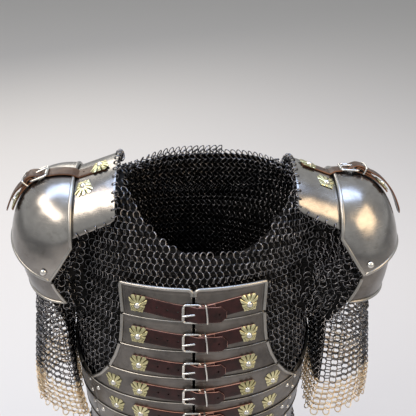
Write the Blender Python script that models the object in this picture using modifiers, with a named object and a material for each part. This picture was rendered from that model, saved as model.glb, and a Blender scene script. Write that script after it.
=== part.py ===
"""Ring mail shirt with a laminar steel cuirass and buckled shoulder defences.

Metres, +Z up. The front faces -Y, the hem stands on z = 0 and the armour keeps the shape it has when worn.
Heights and widths are the real object's; shares are parts of the named size that they follow.
"""
import math

import bmesh
import bpy
from mathutils import Matrix, Vector

# Mail shirt
SHOULDER_HEIGHT = 0.716
CHEST_HALF_WIDTH = 0.170
CHEST_DEPTH = 0.131
BACK_DEPTH = 0.128
HEM_HALF_WIDTH = 0.200
HEM_DEPTH = 0.165
HEM_BAND = 0.050
NECK_HALF_WIDTH = 0.110
NECK_SHIFT = 0.0075
MAIL_THICKNESS = 0.005
SEAM_GAP = 0.0005
COLUMNS = 36
ARMHOLE_HALF_COLUMNS = 3

# Sleeves
SLEEVE_OUTER = 0.252
SLEEVE_CLEARANCE = 0.006
SLEEVE_HALF_DEPTH = 0.062
SLEEVE_HEM_HEIGHT = 0.352
SLEEVE_BAND = 0.050
SLEEVE_FORWARD = 0.030
SLEEVE_BEND = 0.030

# Cuirass
ROWS = 7
CUIRASS_TOP = 0.591
LAME_PITCH = 0.041
LAME_OVERLAP = 0.009
LAME_THICKNESS = 0.0012
LAME_GAP = 0.0004
LAME_LIFT = 0.0007
CUIRASS_SHIFT = -0.016
SPLIT_GAP = 0.004
SIDE_GAP = 0.002
RIM_RADIUS = 0.0022
LAME_COLUMNS = 8

# Front straps and buckles
STRAP_WIDTH = 0.020
STRAP_THICKNESS = 0.0018
STRAP_GAP = 0.0004
STRAP_RISE = 0.018
MOUNT_HALF_SPACING = 0.072
MOUNT_SIZE = 0.026
MOUNT_THICKNESS = 0.0016
RIVET_RADIUS = 0.0042
RIVET_HEIGHT = 0.0028
PIVOT_OFFSET = 0.009
FRAME_LENGTH = 0.023
FRAME_WIDTH = 0.0275
FRAME_WIRE = 0.003
TONGUE_WIDTH = 0.003
TONGUE_THICKNESS = 0.0014
SLOT_WIDTH = 0.0052
FOLD_LENGTH = 0.018
TAIL_LENGTH = 0.033
KEEPER_PLACE = 0.0115
KEEPER_WIRE = 0.002

# Shoulder plate: it lies on the mail's shoulder, so rises and drops count from there
PLATE_INNER = 0.114
PLATE_OUTER = 0.178
PLATE_HALF_DEPTH = 0.074
PLATE_INNER_RISE = 0.0125
PLATE_OUTER_DROP = 0.011
PLATE_INNER_FOOT_DROP = 0.034
PLATE_OUTER_FOOT_DROP = 0.065
PLATE_THICKNESS = 0.0014

# Links between shoulder plate and mail
LINK_WIRE = 0.0020
LINK_WIDTH = 0.0090
LINK_LEVEL_SHARE = 0.25
LINK_TURN = math.radians(10.0)
LINK_INSET_SHARE = 0.06
LINK_ARCH_SHARE = 0.20

# Shoulder cop and lower lame: drops count from the mail's shoulder, the swell's rise from the cop's top
COP_INNER = 0.1725
COP_DROP = 0.0040
COP_FOOT_DROP = 0.065
COP_HALF_DEPTH = 0.0805
COP_TIP_X = 0.203
COP_TIP_DROP = 0.113
COP_TIP_DEPTH = 0.087
COP_EDGE_X = 0.262
COP_EDGE_DROP = 0.088
COP_THICKNESS = 0.0015
COP_SWELL_RISE = 0.010
COP_SWELL_X = 0.247
COP_RIM_RADIUS = 0.0021
COP_OUTS = 5
LOWER_LAME_DROP = 0.070
LOWER_LAME_CLEARANCE = 0.0030
LAME_RIVET_RADIUS = 0.0020
LAME_RIVET_HEAD = 0.0042
LAME_RIVET_PLAY = 0.0003
SIDE_TILT = {"left": math.radians(4.0), "right": math.radians(-8.0)}
TILT_DROP = 0.016
SHOULDER_PIVOT = {"left": 0.226, "right": 0.203}
SHOULDER_MOUNT_X = 0.137
SHOULDER_TAIL_END = 0.188
SHOULDER_STRAP_WIDTH = 0.018

PLATE_TOP_INNER = SHOULDER_HEIGHT + PLATE_INNER_RISE
PLATE_TOP_OUTER = SHOULDER_HEIGHT - PLATE_OUTER_DROP
PLATE_FOOT_INNER = SHOULDER_HEIGHT - PLATE_INNER_FOOT_DROP
PLATE_FOOT_OUTER = SHOULDER_HEIGHT - PLATE_OUTER_FOOT_DROP
COP_TOP = SHOULDER_HEIGHT - COP_DROP
COP_FOOT = SHOULDER_HEIGHT - COP_FOOT_DROP
COP_TIP_HEIGHT = SHOULDER_HEIGHT - COP_TIP_DROP
COP_EDGE_HEIGHT = SHOULDER_HEIGHT - COP_EDGE_DROP
COP_SWELL_HEIGHT = COP_TOP + COP_SWELL_RISE
TILT_HEIGHT = SHOULDER_HEIGHT - TILT_DROP

SIDES = {"left": -1, "right": 1}


def squared(value, square):
    """Sine or cosine turned into the matching reach of a squared oval."""
    return math.copysign(abs(value) ** (2.0 / square), value)


class Ring:
    """One level section of the body form: a squared oval whose height may droop to the front and back."""

    def __init__(self, side_height, half_width, front, back, square, centre_x,
                 front_height=None, back_height=None, droop=2.0):
        self.side_height = side_height
        self.half_width = half_width
        self.front = front
        self.back = back
        self.square = square
        self.centre_x = centre_x
        self.front_height = side_height if front_height is None else front_height
        self.back_height = side_height if back_height is None else back_height
        self.droop = droop

    def blend(self, other, share):
        mixed = Ring(0, 0, 0, 0, 0, 0)
        for name in vars(self):
            here = getattr(self, name)
            setattr(mixed, name, here + (getattr(other, name) - here) * share)
        return mixed

    def point(self, angle):
        along = math.sin(angle)
        x = self.centre_x + self.half_width * squared(math.cos(angle), self.square)
        depth = self.front if along < 0 else self.back
        y = depth * squared(along, self.square)
        end_height = self.front_height if along < 0 else self.back_height
        z = self.side_height + (end_height - self.side_height) * abs(along) ** self.droop
        return Vector((x, y, z))


# Skirt sections between hem band and waist: shares of the hem's half width and of its depth
THIGH_SHARES = (0.945, 0.93)
HIP_SHARES = (0.845, 0.80)
THIGH_HEIGHT_SHARE = 0.45

# Cuirass lines from the top down: shares of chest half width, chest depth, back depth; squareness
LINE_SHARES = (
    (1.020, 0.718, 0.930, 1.75),
    (1.008, 0.824, 0.965, 1.90),
    (1.000, 0.908, 0.985, 2.10),
    (1.000, 0.962, 1.000, 2.20),
    (1.000, 1.000, 1.000, 2.20),
    (0.985, 1.000, 0.985, 2.20),
    (0.962, 0.977, 0.950, 2.20),
    (0.925, 0.947, 0.920, 2.20),
)

# Yoke above the cuirass: shares of chest half width, chest depth, back depth; squareness; shares of the
# rise from cuirass top to shoulder at front, side and back; droop; share of the shift to the neck
YOKE_SHARES = (
    (1.030, 0.691, 0.90, 1.9, 0.083, 0.32, 0.20, 2.4, 0.35),
    (0.985, 0.662, 0.85, 2.0, 0.157, 0.70, 0.36, 2.4, 0.60),
    (0.820, 0.628, 0.76, 2.1, 0.231, 0.96, 0.49, 2.4, 0.80),
)
NECK_SHARES = (0.565, 0.61, 2.5, 0.328, 0.94, 1.0, 2.2)


def body_rings():
    """All sections of the shirt's outer surface, from the hem up to the neck opening."""
    rings = [Ring(0, HEM_HALF_WIDTH, HEM_DEPTH, HEM_DEPTH, 2.0, CUIRASS_SHIFT),
             Ring(HEM_BAND, HEM_HALF_WIDTH, HEM_DEPTH, HEM_DEPTH, 2.0, CUIRASS_SHIFT)]
    waist = CUIRASS_TOP - ROWS * LAME_PITCH
    skirt = ((waist * THIGH_HEIGHT_SHARE, *THIGH_SHARES), (waist - LAME_PITCH, *HIP_SHARES))
    for height, width, depth in skirt:
        rings.append(Ring(height, HEM_HALF_WIDTH * width, HEM_DEPTH * depth,
                          HEM_DEPTH * depth, 2.1, CUIRASS_SHIFT))
    for line in range(ROWS, -1, -1):
        width, front, back, square = LINE_SHARES[line]
        rings.append(Ring(CUIRASS_TOP - line * LAME_PITCH, CHEST_HALF_WIDTH * width,
                          CHEST_DEPTH * front, BACK_DEPTH * back, square, CUIRASS_SHIFT))
    rise = SHOULDER_HEIGHT - CUIRASS_TOP
    turn = NECK_SHIFT - CUIRASS_SHIFT
    for width, front, back, square, up_front, up_side, up_back, droop, shift in YOKE_SHARES:
        rings.append(Ring(CUIRASS_TOP + rise * up_side, CHEST_HALF_WIDTH * width, CHEST_DEPTH * front,
                          BACK_DEPTH * back, square, CUIRASS_SHIFT + turn * shift,
                          CUIRASS_TOP + rise * up_front, CUIRASS_TOP + rise * up_back, droop))
    front, back, square, up_front, up_side, up_back, droop = NECK_SHARES
    rings.append(Ring(CUIRASS_TOP + rise * up_side, NECK_HALF_WIDTH, CHEST_DEPTH * front,
                      BACK_DEPTH * back, square, NECK_SHIFT, CUIRASS_TOP + rise * up_front,
                      CUIRASS_TOP + rise * up_back, droop))
    return rings


RINGS = body_rings()
TOP_LINE = len(RINGS) - 1 - len(YOKE_SHARES) - 1
OVERLAP_LEVELS = LAME_OVERLAP / LAME_PITCH
FRONT = -math.pi / 2


def ring_at(level):
    """The section at a level that may lie between two rings."""
    lower = max(0, min(len(RINGS) - 2, math.floor(level)))
    return RINGS[lower].blend(RINGS[lower + 1], level - lower)


def body_point(level, angle):
    return ring_at(level).point(angle)


def body_normal(level, angle):
    """Outward normal of the body form, from its slopes along and across."""
    turn_step = math.radians(0.5)
    level_step = 0.02
    along = body_point(level, angle + turn_step) - body_point(level, angle - turn_step)
    up = body_point(level + level_step, angle) - body_point(level - level_step, angle)
    return along.cross(up).normalized()


def front_angle(level, distance):
    """Angle on the front of the body, at a sideways distance from the cuirass's centre line."""
    ring = ring_at(level)
    share = min(1.0, abs(distance) / ring.half_width)
    turn = math.asin(share ** (ring.square / 2.0))
    return FRONT + math.copysign(turn, distance)


def level_of_height(height):
    """Level on the cuirass at a height."""
    return TOP_LINE + (height - CUIRASS_TOP) / LAME_PITCH


def interpolate(table, value):
    """Straight-line reading of a table of pairs."""
    for (low, low_value), (high, high_value) in zip(table, table[1:]):
        if value <= high:
            return low_value + (high_value - low_value) * max(0.0, (value - low) / (high - low))
    return table[-1][1]


# Collections, materials and objects
def clear_scene():
    for item in list(bpy.data.objects):
        bpy.data.objects.remove(item, do_unlink=True)


def collection(name):
    made = bpy.data.collections.new(name)
    bpy.context.scene.collection.children.link(made)
    return made


clear_scene()
ARMOUR = collection("mail_and_laminar_armour")
CUTTERS = collection("cutters")


def material(name, colour, roughness, metallic):
    made = bpy.data.materials.new(name)
    made.use_nodes = True
    shader = made.node_tree.nodes["Principled BSDF"]
    shader.inputs["Base Color"].default_value = (*colour, 1.0)
    shader.inputs["Roughness"].default_value = roughness
    shader.inputs["Metallic"].default_value = metallic
    return made


BLACK_MAIL = material("blackened_steel_mail", (0.012, 0.012, 0.014), 0.45, 1.0)
LAME_STEEL = material("satin_lame_steel", (0.15, 0.145, 0.14), 0.42, 1.0)
POLISHED_STEEL = material("polished_pauldron_steel", (0.55, 0.53, 0.50), 0.18, 1.0)
LEATHER = material("red_brown_leather", (0.045, 0.014, 0.016), 0.5, 0.0)
BUCKLE_STEEL = material("bright_buckle_steel", (0.72, 0.72, 0.70), 0.22, 1.0)


def add_object(name, data, surface, home=None):
    made = bpy.data.objects.new(name, data)
    (home or ARMOUR).objects.link(made)
    if surface is not None:
        made.data.materials.append(surface)
    return made


def loft(name, rows, surface, closed=False, skip=None, flip=False, home=None):
    """Open surface through rows of points; skip leaves out cells, closed joins the last column to the first."""
    builder = bmesh.new()
    grid = [[builder.verts.new(point) for point in row] for row in rows]
    width = len(rows[0])
    for row in range(len(rows) - 1):
        for column in range(width if closed else width - 1):
            if skip and skip(row, column):
                continue
            after = (column + 1) % width
            corners = [grid[row][column], grid[row][after], grid[row + 1][after], grid[row + 1][column]]
            if flip:
                corners.reverse()
            builder.faces.new(corners)
    loose = [vertex for vertex in builder.verts if not vertex.link_faces]
    bmesh.ops.delete(builder, geom=loose, context="VERTS")
    mesh = bpy.data.meshes.new(name)
    builder.to_mesh(mesh)
    builder.free()
    return add_object(name, mesh, surface, home)


def solidify(item, thickness, offset):
    wall = item.modifiers.new("wall", "SOLIDIFY")
    wall.thickness = thickness
    wall.offset = offset
    wall.use_even_offset = True
    return item


def tube_mesh(name, points, radius, cyclic=False, sides_resolution=1):
    """A wire through the points as a closed mesh object among the cutters."""
    curve = bpy.data.curves.new(name, "CURVE")
    curve.dimensions = "3D"
    curve.bevel_depth = radius
    curve.bevel_resolution = sides_resolution
    curve.use_fill_caps = not cyclic
    spline = curve.splines.new("POLY")
    spline.points.add(len(points) - 1)
    for knot, point in zip(spline.points, points):
        knot.co = (*point, 1.0)
    spline.use_cyclic_u = cyclic
    wire = add_object(name + "_curve", curve, None, CUTTERS)
    depsgraph = bpy.context.evaluated_depsgraph_get()
    mesh = bpy.data.meshes.new_from_object(wire.evaluated_get(depsgraph))
    bpy.data.objects.remove(wire, do_unlink=True)
    return weld(mesh, name)


def weld(mesh, name):
    builder = bmesh.new()
    builder.from_mesh(mesh)
    bmesh.ops.remove_doubles(builder, verts=builder.verts, dist=0.00001)
    bmesh.ops.recalc_face_normals(builder, faces=builder.faces)
    builder.to_mesh(mesh)
    builder.free()
    mesh.name = name
    return add_object(name, mesh, None, CUTTERS)


def as_cutter(item):
    item.hide_render = True
    item.display_type = "WIRE"
    return item


def combine(item, other, operation):
    """Boolean of a piece with a cutter object, kept as a live modifier."""
    step = item.modifiers.new(operation.lower(), "BOOLEAN")
    step.operation = operation
    step.solver = "EXACT"
    step.object = as_cutter(other)
    return item


def oriented_box(name, centre, axes, size):
    """A box with its own axes, among the cutters."""
    builder = bmesh.new()
    bmesh.ops.create_cube(builder, size=1.0)
    turn = Matrix((axes[0], axes[1], axes[2])).transposed().to_4x4()
    place = Matrix.Translation(centre) @ turn @ Matrix.Diagonal((*size, 1.0))
    bmesh.ops.transform(builder, matrix=place, verts=builder.verts)
    mesh = bpy.data.meshes.new(name)
    builder.to_mesh(mesh)
    builder.free()
    return add_object(name, mesh, None, CUTTERS)


def oriented_dome(name, centre, axes, radius, height, crown_share=0.45):
    """A rivet's low dome as a tapered disc, or its shank, its axis along the third axis given."""
    builder = bmesh.new()
    bmesh.ops.create_cone(builder, cap_ends=True, segments=8, radius1=radius,
                          radius2=radius * crown_share, depth=height)
    turn = Matrix((axes[0], axes[1], axes[2])).transposed().to_4x4()
    bmesh.ops.transform(builder, matrix=Matrix.Translation(centre) @ turn, verts=builder.verts)
    mesh = bpy.data.meshes.new(name)
    builder.to_mesh(mesh)
    builder.free()
    return add_object(name, mesh, None, CUTTERS)


# Mail shirt: body with a hole for each sleeve
ARMHOLE_BOTTOM = TOP_LINE - 2
ARMHOLE_TOP = TOP_LINE + 2


def column_angle(column):
    return FRONT + 2.0 * math.pi * column / COLUMNS


def side_column(side):
    return COLUMNS // 4 if side > 0 else 3 * COLUMNS // 4


def in_armhole(row, column):
    if not ARMHOLE_BOTTOM <= row < ARMHOLE_TOP:
        return False
    for side in SIDES.values():
        middle = side_column(side)
        if middle - ARMHOLE_HALF_COLUMNS <= column < middle + ARMHOLE_HALF_COLUMNS:
            return True
    return False


def mail_body():
    rows = [[ring.point(column_angle(column)) for column in range(COLUMNS)] for ring in RINGS]
    body = loft("mail_shirt", rows, BLACK_MAIL, closed=True, skip=in_armhole)
    return solidify(body, MAIL_THICKNESS, -1.0)


def armhole_loop(side):
    """Corner by corner round a sleeve hole: bottom from front to back, up, top to the front, down."""
    middle = side_column(side)
    front = middle - side * ARMHOLE_HALF_COLUMNS
    back = middle + side * ARMHOLE_HALF_COLUMNS
    cells = 2 * ARMHOLE_HALF_COLUMNS
    rise = ARMHOLE_TOP - ARMHOLE_BOTTOM
    spots = [(ARMHOLE_BOTTOM, front + side * step) for step in range(cells)]
    spots += [(ARMHOLE_BOTTOM + step, back) for step in range(rise)]
    spots += [(ARMHOLE_TOP, back - side * step) for step in range(cells)]
    spots += [(ARMHOLE_TOP - step, front) for step in range(rise)]
    return [RINGS[level].point(column_angle(column)) for level, column in spots]


def loop_angles():
    """Angles round a sleeve section that match the armhole loop, 180 degrees being the front."""
    cells = 2 * ARMHOLE_HALF_COLUMNS
    rise = ARMHOLE_TOP - ARMHOLE_BOTTOM
    quarter = math.pi / 2
    angles = []
    start = math.pi + quarter / 2
    for count in (cells, rise, cells, rise):
        angles += [start + quarter * step / count for step in range(count)]
        start += quarter
    return angles


# Sleeve sections from the armhole down. The outside: share of the way out from armhole top to hem, share
# of the way down. The inside: share of the way down from armhole bottom to hem. Share of the hem's depth,
# and how square the section is
SLEEVE_SHARES = (
    (0.45, 0.02, 0.05, 0.92, 5.0),
    (0.76, 0.14, 0.14, 0.82, 3.0),
    (0.80, 0.31, 0.28, 0.80, 2.3),
    (0.88, 0.55, 0.52, 0.92, 2.2),
)


def sleeve(name, side):
    loop = armhole_loop(side)
    corner = len(loop) // 2
    armhole_y = (loop[0].y + loop[corner].y) / 2
    top = RINGS[ARMHOLE_TOP].point(column_angle(side_column(side)))
    bottom = RINGS[ARMHOLE_BOTTOM].point(column_angle(side_column(side)))
    band = SLEEVE_HEM_HEIGHT + SLEEVE_BAND
    outer_drop = top.z - SLEEVE_HEM_HEIGHT
    inner_drop = bottom.z - SLEEVE_HEM_HEIGHT
    sections = list(SLEEVE_SHARES)
    sections.append((1.0, (top.z - band) / outer_drop, (bottom.z - band) / inner_drop, 1.0, 2.1))
    sections.append((1.0, 1.0, 1.0, 1.0, 2.1))
    rows = [[point + Vector((side * SEAM_GAP, 0, 0)) for point in loop]]
    for out, outer_down, inner_down, deep, square in sections:
        outer = Vector((top.x + (side * SLEEVE_OUTER - top.x) * out, 0, top.z - outer_drop * outer_down))
        clear = SLEEVE_CLEARANCE * min(1.0, outer_down * len(SLEEVE_SHARES))
        height = bottom.z - inner_drop * inner_down
        reach = body_point(level_of_height(height), column_angle(side_column(side))).x
        inner = Vector((reach + side * (LAME_LIFT + LAME_THICKNESS + clear), 0, height))
        middle = (outer + inner) / 2
        middle.y = armhole_y - (SLEEVE_FORWARD + armhole_y) * outer_down
        half = (outer - inner) / 2
        bend = SLEEVE_BEND * outer_down
        row = []
        for angle in loop_angles():
            fore = squared(math.cos(angle), square)
            sweep = Vector((-side * bend * max(0.0, -fore) ** 2, SLEEVE_HALF_DEPTH * deep * fore, 0))
            row.append(middle + sweep + half * squared(math.sin(angle), square))
        rows.append(row)
    made = loft(name, rows, BLACK_MAIL, closed=True, flip=side < 0)
    return solidify(made, MAIL_THICKNESS, -1.0)


# Front lames
# Sideways reach of the front edge, as shares of the chest's half width, by pitches below the top line
EDGE_SHARES = (
    (0.0, 0.560), (1.0, 0.547), (1.5, 0.555), (2.0, 0.572), (2.5, 0.612),
    (3.0, 0.668), (3.5, 0.742), (4.0, 0.841), (5.0, 0.812), (6.0, 0.788), (7.5, 0.762),
)


def edge_distance(level):
    return CHEST_HALF_WIDTH * interpolate(EDGE_SHARES, TOP_LINE - level)


def lame_levels(row):
    """Bottom and top level of a lame; its foot hides under the top of the lame below."""
    return TOP_LINE - row - 1 - OVERLAP_LEVELS, TOP_LINE - row


def lame_offset(row, level):
    """How far the inside of a lame stands off the mail: its top leans out over the lame above."""
    bottom, top = lame_levels(row)
    height = LAME_PITCH + LAME_OVERLAP
    lean = (LAME_THICKNESS + LAME_GAP) * height / LAME_PITCH
    return LAME_LIFT + lean * (level - bottom) / (top - bottom)


def lame_point(row, level, angle, extra):
    return body_point(level, angle) + body_normal(level, angle) * (lame_offset(row, level) + extra)


def lame_rows(row):
    bottom, top = lame_levels(row)
    middle_share = 0.5
    return [bottom, bottom + OVERLAP_LEVELS, top - middle_share, top - OVERLAP_LEVELS, top]


def front_lame(row, side_name):
    side = SIDES[side_name]
    name = f"row_{row + 1}_lame_{side_name}"
    rows = []
    for level in lame_rows(row):
        start = front_angle(level, side * SPLIT_GAP / 2)
        end = front_angle(level, side * edge_distance(level))
        if side < 0:
            start, end = end, start
        rows.append([lame_point(row, level, start + (end - start) * step / LAME_COLUMNS, 0)
                     for step in range(LAME_COLUMNS + 1)])
    lame = solidify(loft(name, rows, LAME_STEEL), LAME_THICKNESS, 1.0)
    route = rim_route(row, side)
    if route:
        combine(lame, tube_mesh(name + "_rim", route, RIM_RADIUS), "UNION")
    return lame


def rim_route(row, side):
    """Rolled edge: along the top of the first row, and down the armhole edge of the first four."""
    armhole_rows = 4
    if row >= armhole_rows:
        return []
    bottom, top = lame_levels(row)
    route = []
    if row == 0:
        start = front_angle(top, side * SPLIT_GAP / 2)
        end = front_angle(top, side * edge_distance(top))
        for step in range(LAME_COLUMNS):
            route.append(lame_point(row, top, start + (end - start) * step / LAME_COLUMNS, RIM_RADIUS))
    gap = (RIM_RADIUS + LAME_GAP) / LAME_PITCH
    last = bottom + OVERLAP_LEVELS + gap
    for level in (top, top - OVERLAP_LEVELS, top - 0.5, last):
        route.append(lame_point(row, level, front_angle(level, side * edge_distance(level)), RIM_RADIUS))
    return route


# Back plate
# Armhole of the back plate seen from the side: shares of the back's depth, and pitches below the top line
BACK_ARMHOLE_SHARES = (
    (-0.90, 3.95), (-0.45, 3.75), (-0.05, 3.40), (0.30, 2.85), (0.55, 2.15), (0.67, 1.3), (0.70, -1.0),
)


def back_armhole_outline():
    """The armhole edge in fine steps, so that a rim along it follows the body."""
    corners = [Vector((0, BACK_DEPTH * share, CUIRASS_TOP - LAME_PITCH * pitches))
               for share, pitches in BACK_ARMHOLE_SHARES]
    steps = 3
    outline = [corners[0]]
    for first, second in zip(corners, corners[1:]):
        outline += [first.lerp(second, step / steps) for step in range(1, steps + 1)]
    return outline


def side_angle(level, depth_place, side):
    """Angle on the body's side at a place fore and aft."""
    ring = ring_at(level)
    depth = ring.front if depth_place < 0 else ring.back
    turn = math.asin(math.copysign(min(1.0, abs(depth_place) / depth) ** (ring.square / 2.0), depth_place))
    return turn if side > 0 else math.pi - turn


def back_plate():
    bottom = TOP_LINE - ROWS - OVERLAP_LEVELS
    levels = [bottom] + list(range(TOP_LINE - ROWS, TOP_LINE + 1))
    step = 2.0 * math.pi / COLUMNS
    starts = []
    for level in levels:
        gap = SIDE_GAP / ring_at(level).half_width
        starts.append(front_angle(level, edge_distance(min(level, TOP_LINE - 4))) + gap)
    first = math.ceil((max(starts) - FRONT) / step)
    if column_angle(first) - max(starts) < step / 3:
        first += 1
    last = COLUMNS - first
    rows = []
    for level, start in zip(levels, starts):
        between = (start + column_angle(first)) / 2
        angles = [start, between] + [column_angle(column) for column in range(first, last + 1)]
        angles += [math.pi - between, math.pi - start]
        rows.append([shell_point(level, angle) for angle in angles])
    plate = solidify(loft("back_plate", rows, LAME_STEEL), LAME_THICKNESS, 1.0)
    outline = back_armhole_outline()
    reach = HEM_HALF_WIDTH * 2
    far = Vector((0, -HEM_DEPTH, 0))
    ends = [Vector((0, far.y, outline[-1].z)), Vector((0, far.y, outline[0].z))]
    shape = outline + ends
    rows = [[Vector((x, point.y, point.z)) for point in shape] for x in (-reach, reach)]
    cutter = loft("back_armhole_cutter", rows, None, closed=True, home=CUTTERS)
    close_ends(cutter)
    combine(plate, cutter, "DIFFERENCE")
    for side_name, side in SIDES.items():
        combine(plate, tube_mesh(f"back_rim_{side_name}", back_rim_route(side), RIM_RADIUS), "UNION")
    return plate


def shell_point(level, angle, extra=0.0):
    return body_point(level, angle) + body_normal(level, angle) * (LAME_LIFT + extra)


def back_rim_route(side):
    route = []
    for point in back_armhole_outline()[4:-3]:
        level = level_of_height(point.z)
        route.append(shell_point(level, side_angle(level, point.y, side), RIM_RADIUS))
    return route


def close_ends(item):
    builder = bmesh.new()
    builder.from_mesh(item.data)
    bmesh.ops.holes_fill(builder, edges=[edge for edge in builder.edges if edge.is_boundary], sides=0)
    bmesh.ops.recalc_face_normals(builder, faces=builder.faces)
    builder.to_mesh(item.data)
    builder.free()


# Straps and buckles, described in a seat's own directions: along the strap, across it and off its bed
class RowSeat:
    """Bed of a front strap: the outside of a lame. Along runs to the wearer's left from the buckle's pivot."""

    def __init__(self, row):
        self.row = row
        self.height = CUIRASS_TOP - (row + 1) * LAME_PITCH + STRAP_RISE

    def bends(self, start, end):
        """Places where the bed itself bends: none on a lame."""
        return []

    def point(self, along, across, off):
        level = level_of_height(self.height + across)
        angle = front_angle(level, PIVOT_OFFSET + along)
        return lame_point(self.row, level, angle, LAME_THICKNESS + off)


class ShoulderSeat:
    """Bed of a shoulder strap: over the plate, up onto the cop's ridge and down its outside."""

    def __init__(self, side_name):
        self.side_name = side_name
        self.bed = shoulder_bed()
        self.pivot = self.place_of(SHOULDER_PIVOT[side_name])

    def place_of(self, x):
        travelled = 0.0
        for first, second in zip(self.bed, self.bed[1:]):
            if second.x >= x:
                return travelled + (second - first).length * (x - first.x) / (second.x - first.x)
            travelled += (second - first).length
        return travelled

    def spot(self, place):
        travelled = 0.0
        for first, second in zip(self.bed, self.bed[1:]):
            length = (second - first).length
            if place <= travelled + length or second is self.bed[-1]:
                return first + (second - first).normalized() * (place - travelled)
            travelled += length
        return None

    def bends(self, start, end):
        """Places where the bed itself bends, between two places along it."""
        found = []
        travelled = -self.pivot
        for first, second in zip(self.bed, self.bed[1:]):
            travelled += (second - first).length
            if start + STRAP_WIDTH / 10 < travelled < end - STRAP_WIDTH / 10:
                found.append(travelled)
        return found

    def point(self, along, across, off):
        place = self.pivot + along
        reach = STRAP_WIDTH / 2
        way = self.spot(place + reach) - self.spot(place - reach)
        normal = Vector((-way.z, 0, way.x)).normalized()
        local = self.spot(place) + normal * off + Vector((0, across, 0))
        return shoulder_place(local, self.side_name)


def shoulder_place(local, side_name):
    """From the right shoulder's upright frame to the shoulder as it hangs."""
    side = SIDES[side_name]
    turn = SIDE_TILT[side_name]
    y = local.y * math.cos(turn) - (local.z - TILT_HEIGHT) * math.sin(turn)
    z = TILT_HEIGHT + local.y * math.sin(turn) + (local.z - TILT_HEIGHT) * math.cos(turn)
    return Vector((side * local.x, y, z))


EYE_RADIUS = FRAME_WIRE / 2 + STRAP_GAP + STRAP_THICKNESS / 2
FIRST_LAYER = STRAP_GAP + STRAP_THICKNESS / 2
LAYER = STRAP_GAP + STRAP_THICKNESS
BAR_HEIGHT = FIRST_LAYER + EYE_RADIUS
OVER_EYE = BAR_HEIGHT + EYE_RADIUS + LAYER * 1.15


def ribbon(name, seat, stations, slot_range=None, surface=LEATHER, width=STRAP_WIDTH, flip=False):
    """Flat strap through stations (along, off, width share), with an oblong slot between two of them."""
    rows = []
    for along, off, share in stations:
        half = width * share / 2
        slot = SLOT_WIDTH / 2
        places = (-half, -slot, slot, half) if slot_range else (-half, half)
        rows.append([seat.point(along, across, off) for across in places])

    def in_slot(row, column):
        return bool(slot_range) and column == 1 and slot_range[0] <= row < slot_range[1]

    made = loft(name, rows, surface, skip=in_slot, flip=flip)
    return solidify(made, STRAP_THICKNESS, 0.0)


def seat_axes(seat, along, off=0.0):
    """Directions along, across and off the bed at a place on a seat."""
    step = FRAME_WIRE
    here = seat.point(along, 0, off)
    way = (seat.point(along + step, 0, off) - seat.point(along - step, 0, off)).normalized()
    cross = (seat.point(along, step, off) - seat.point(along, -step, off)).normalized()
    normal = way.cross(cross)
    if normal.dot(seat.point(along, 0, off + step) - here) < 0:
        normal = -normal
    cross = normal.cross(way)
    return here, way, cross, normal.normalized()


def add_mount(strap, seat, along):
    """Square leaf-shaped brass mount and its domed rivet, joined to the strap's end."""
    sink_share = 0.4
    foot = FIRST_LAYER + STRAP_THICKNESS * (0.5 - sink_share)
    centre, way, cross, normal = seat_axes(seat, along, foot + MOUNT_THICKNESS / 2)
    box = oriented_box(strap.name + "_mount", centre, (way, cross, normal),
                       (MOUNT_SIZE, MOUNT_SIZE, MOUNT_THICKNESS))
    combine(strap, box, "UNION")
    lift = MOUNT_THICKNESS / 2 + RIVET_HEIGHT * sink_share
    rivet = oriented_dome(strap.name + "_rivet", centre + normal * lift, (way, cross, normal),
                          RIVET_RADIUS, RIVET_HEIGHT)
    combine(strap, rivet, "UNION")


def tail_strap(name, seat, mount_along, tail, width):
    """Punched strap: from its mount under the frame's outer bar, over the pivot bar and along the fold."""
    outer = -FRAME_LENGTH
    start = mount_along - MOUNT_SIZE / 3
    beds = max(2, round((outer - start) / (FRAME_LENGTH / 2)))
    places = seat.bends(start, outer)
    if not places:
        places = [start + (outer - start) * step / beds for step in range(1, beds)]
    stations = [(place, FIRST_LAYER, 1.0) for place in [start] + places]
    stations += [(outer * 0.92, FIRST_LAYER, 1.0),
                 (outer * 0.54, FIRST_LAYER + (OVER_EYE - FIRST_LAYER) * 0.34, 1.0),
                 (outer * 0.14, OVER_EYE - STRAP_GAP, 1.0)]
    slot_start = len(stations) - 2
    stations += [(FRAME_WIRE * 1.5, OVER_EYE - STRAP_GAP, 1.0)]
    slot_end = len(stations) - 1
    stations += [(FOLD_LENGTH * 0.5, FIRST_LAYER + LAYER * 2 + STRAP_GAP * 3, 1.0),
                 (FOLD_LENGTH * 0.85, FIRST_LAYER + LAYER * 2 + STRAP_GAP, 1.0)]
    stations += tail
    made = ribbon(name, seat, stations, (slot_start, slot_end), width=width)
    add_mount(made, seat, mount_along)
    return made


def front_tail():
    return [(FOLD_LENGTH * 1.1, FIRST_LAYER + LAYER * 2, 1.0),
            (TAIL_LENGTH * 0.80, FIRST_LAYER + LAYER + STRAP_GAP, 1.0),
            (TAIL_LENGTH, FIRST_LAYER + LAYER, 0.5)]


def shoulder_tail(end):
    """The long free end: over the cop's mount, bowed off the dome, hanging outside the rim."""
    over_mount = FIRST_LAYER + LAYER * 2.4
    bow = FIRST_LAYER + LAYER * 4.0
    stations = [(FOLD_LENGTH * 1.1, FIRST_LAYER + LAYER * 2, 1.0)]
    start = FOLD_LENGTH * 1.5
    steps = 6
    for step in range(steps + 1):
        share = step / steps
        off = over_mount + (bow - over_mount) * share
        stations.append((start + (end - start) * share, off, 1.0 if step < steps else 0.5))
    return stations


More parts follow.
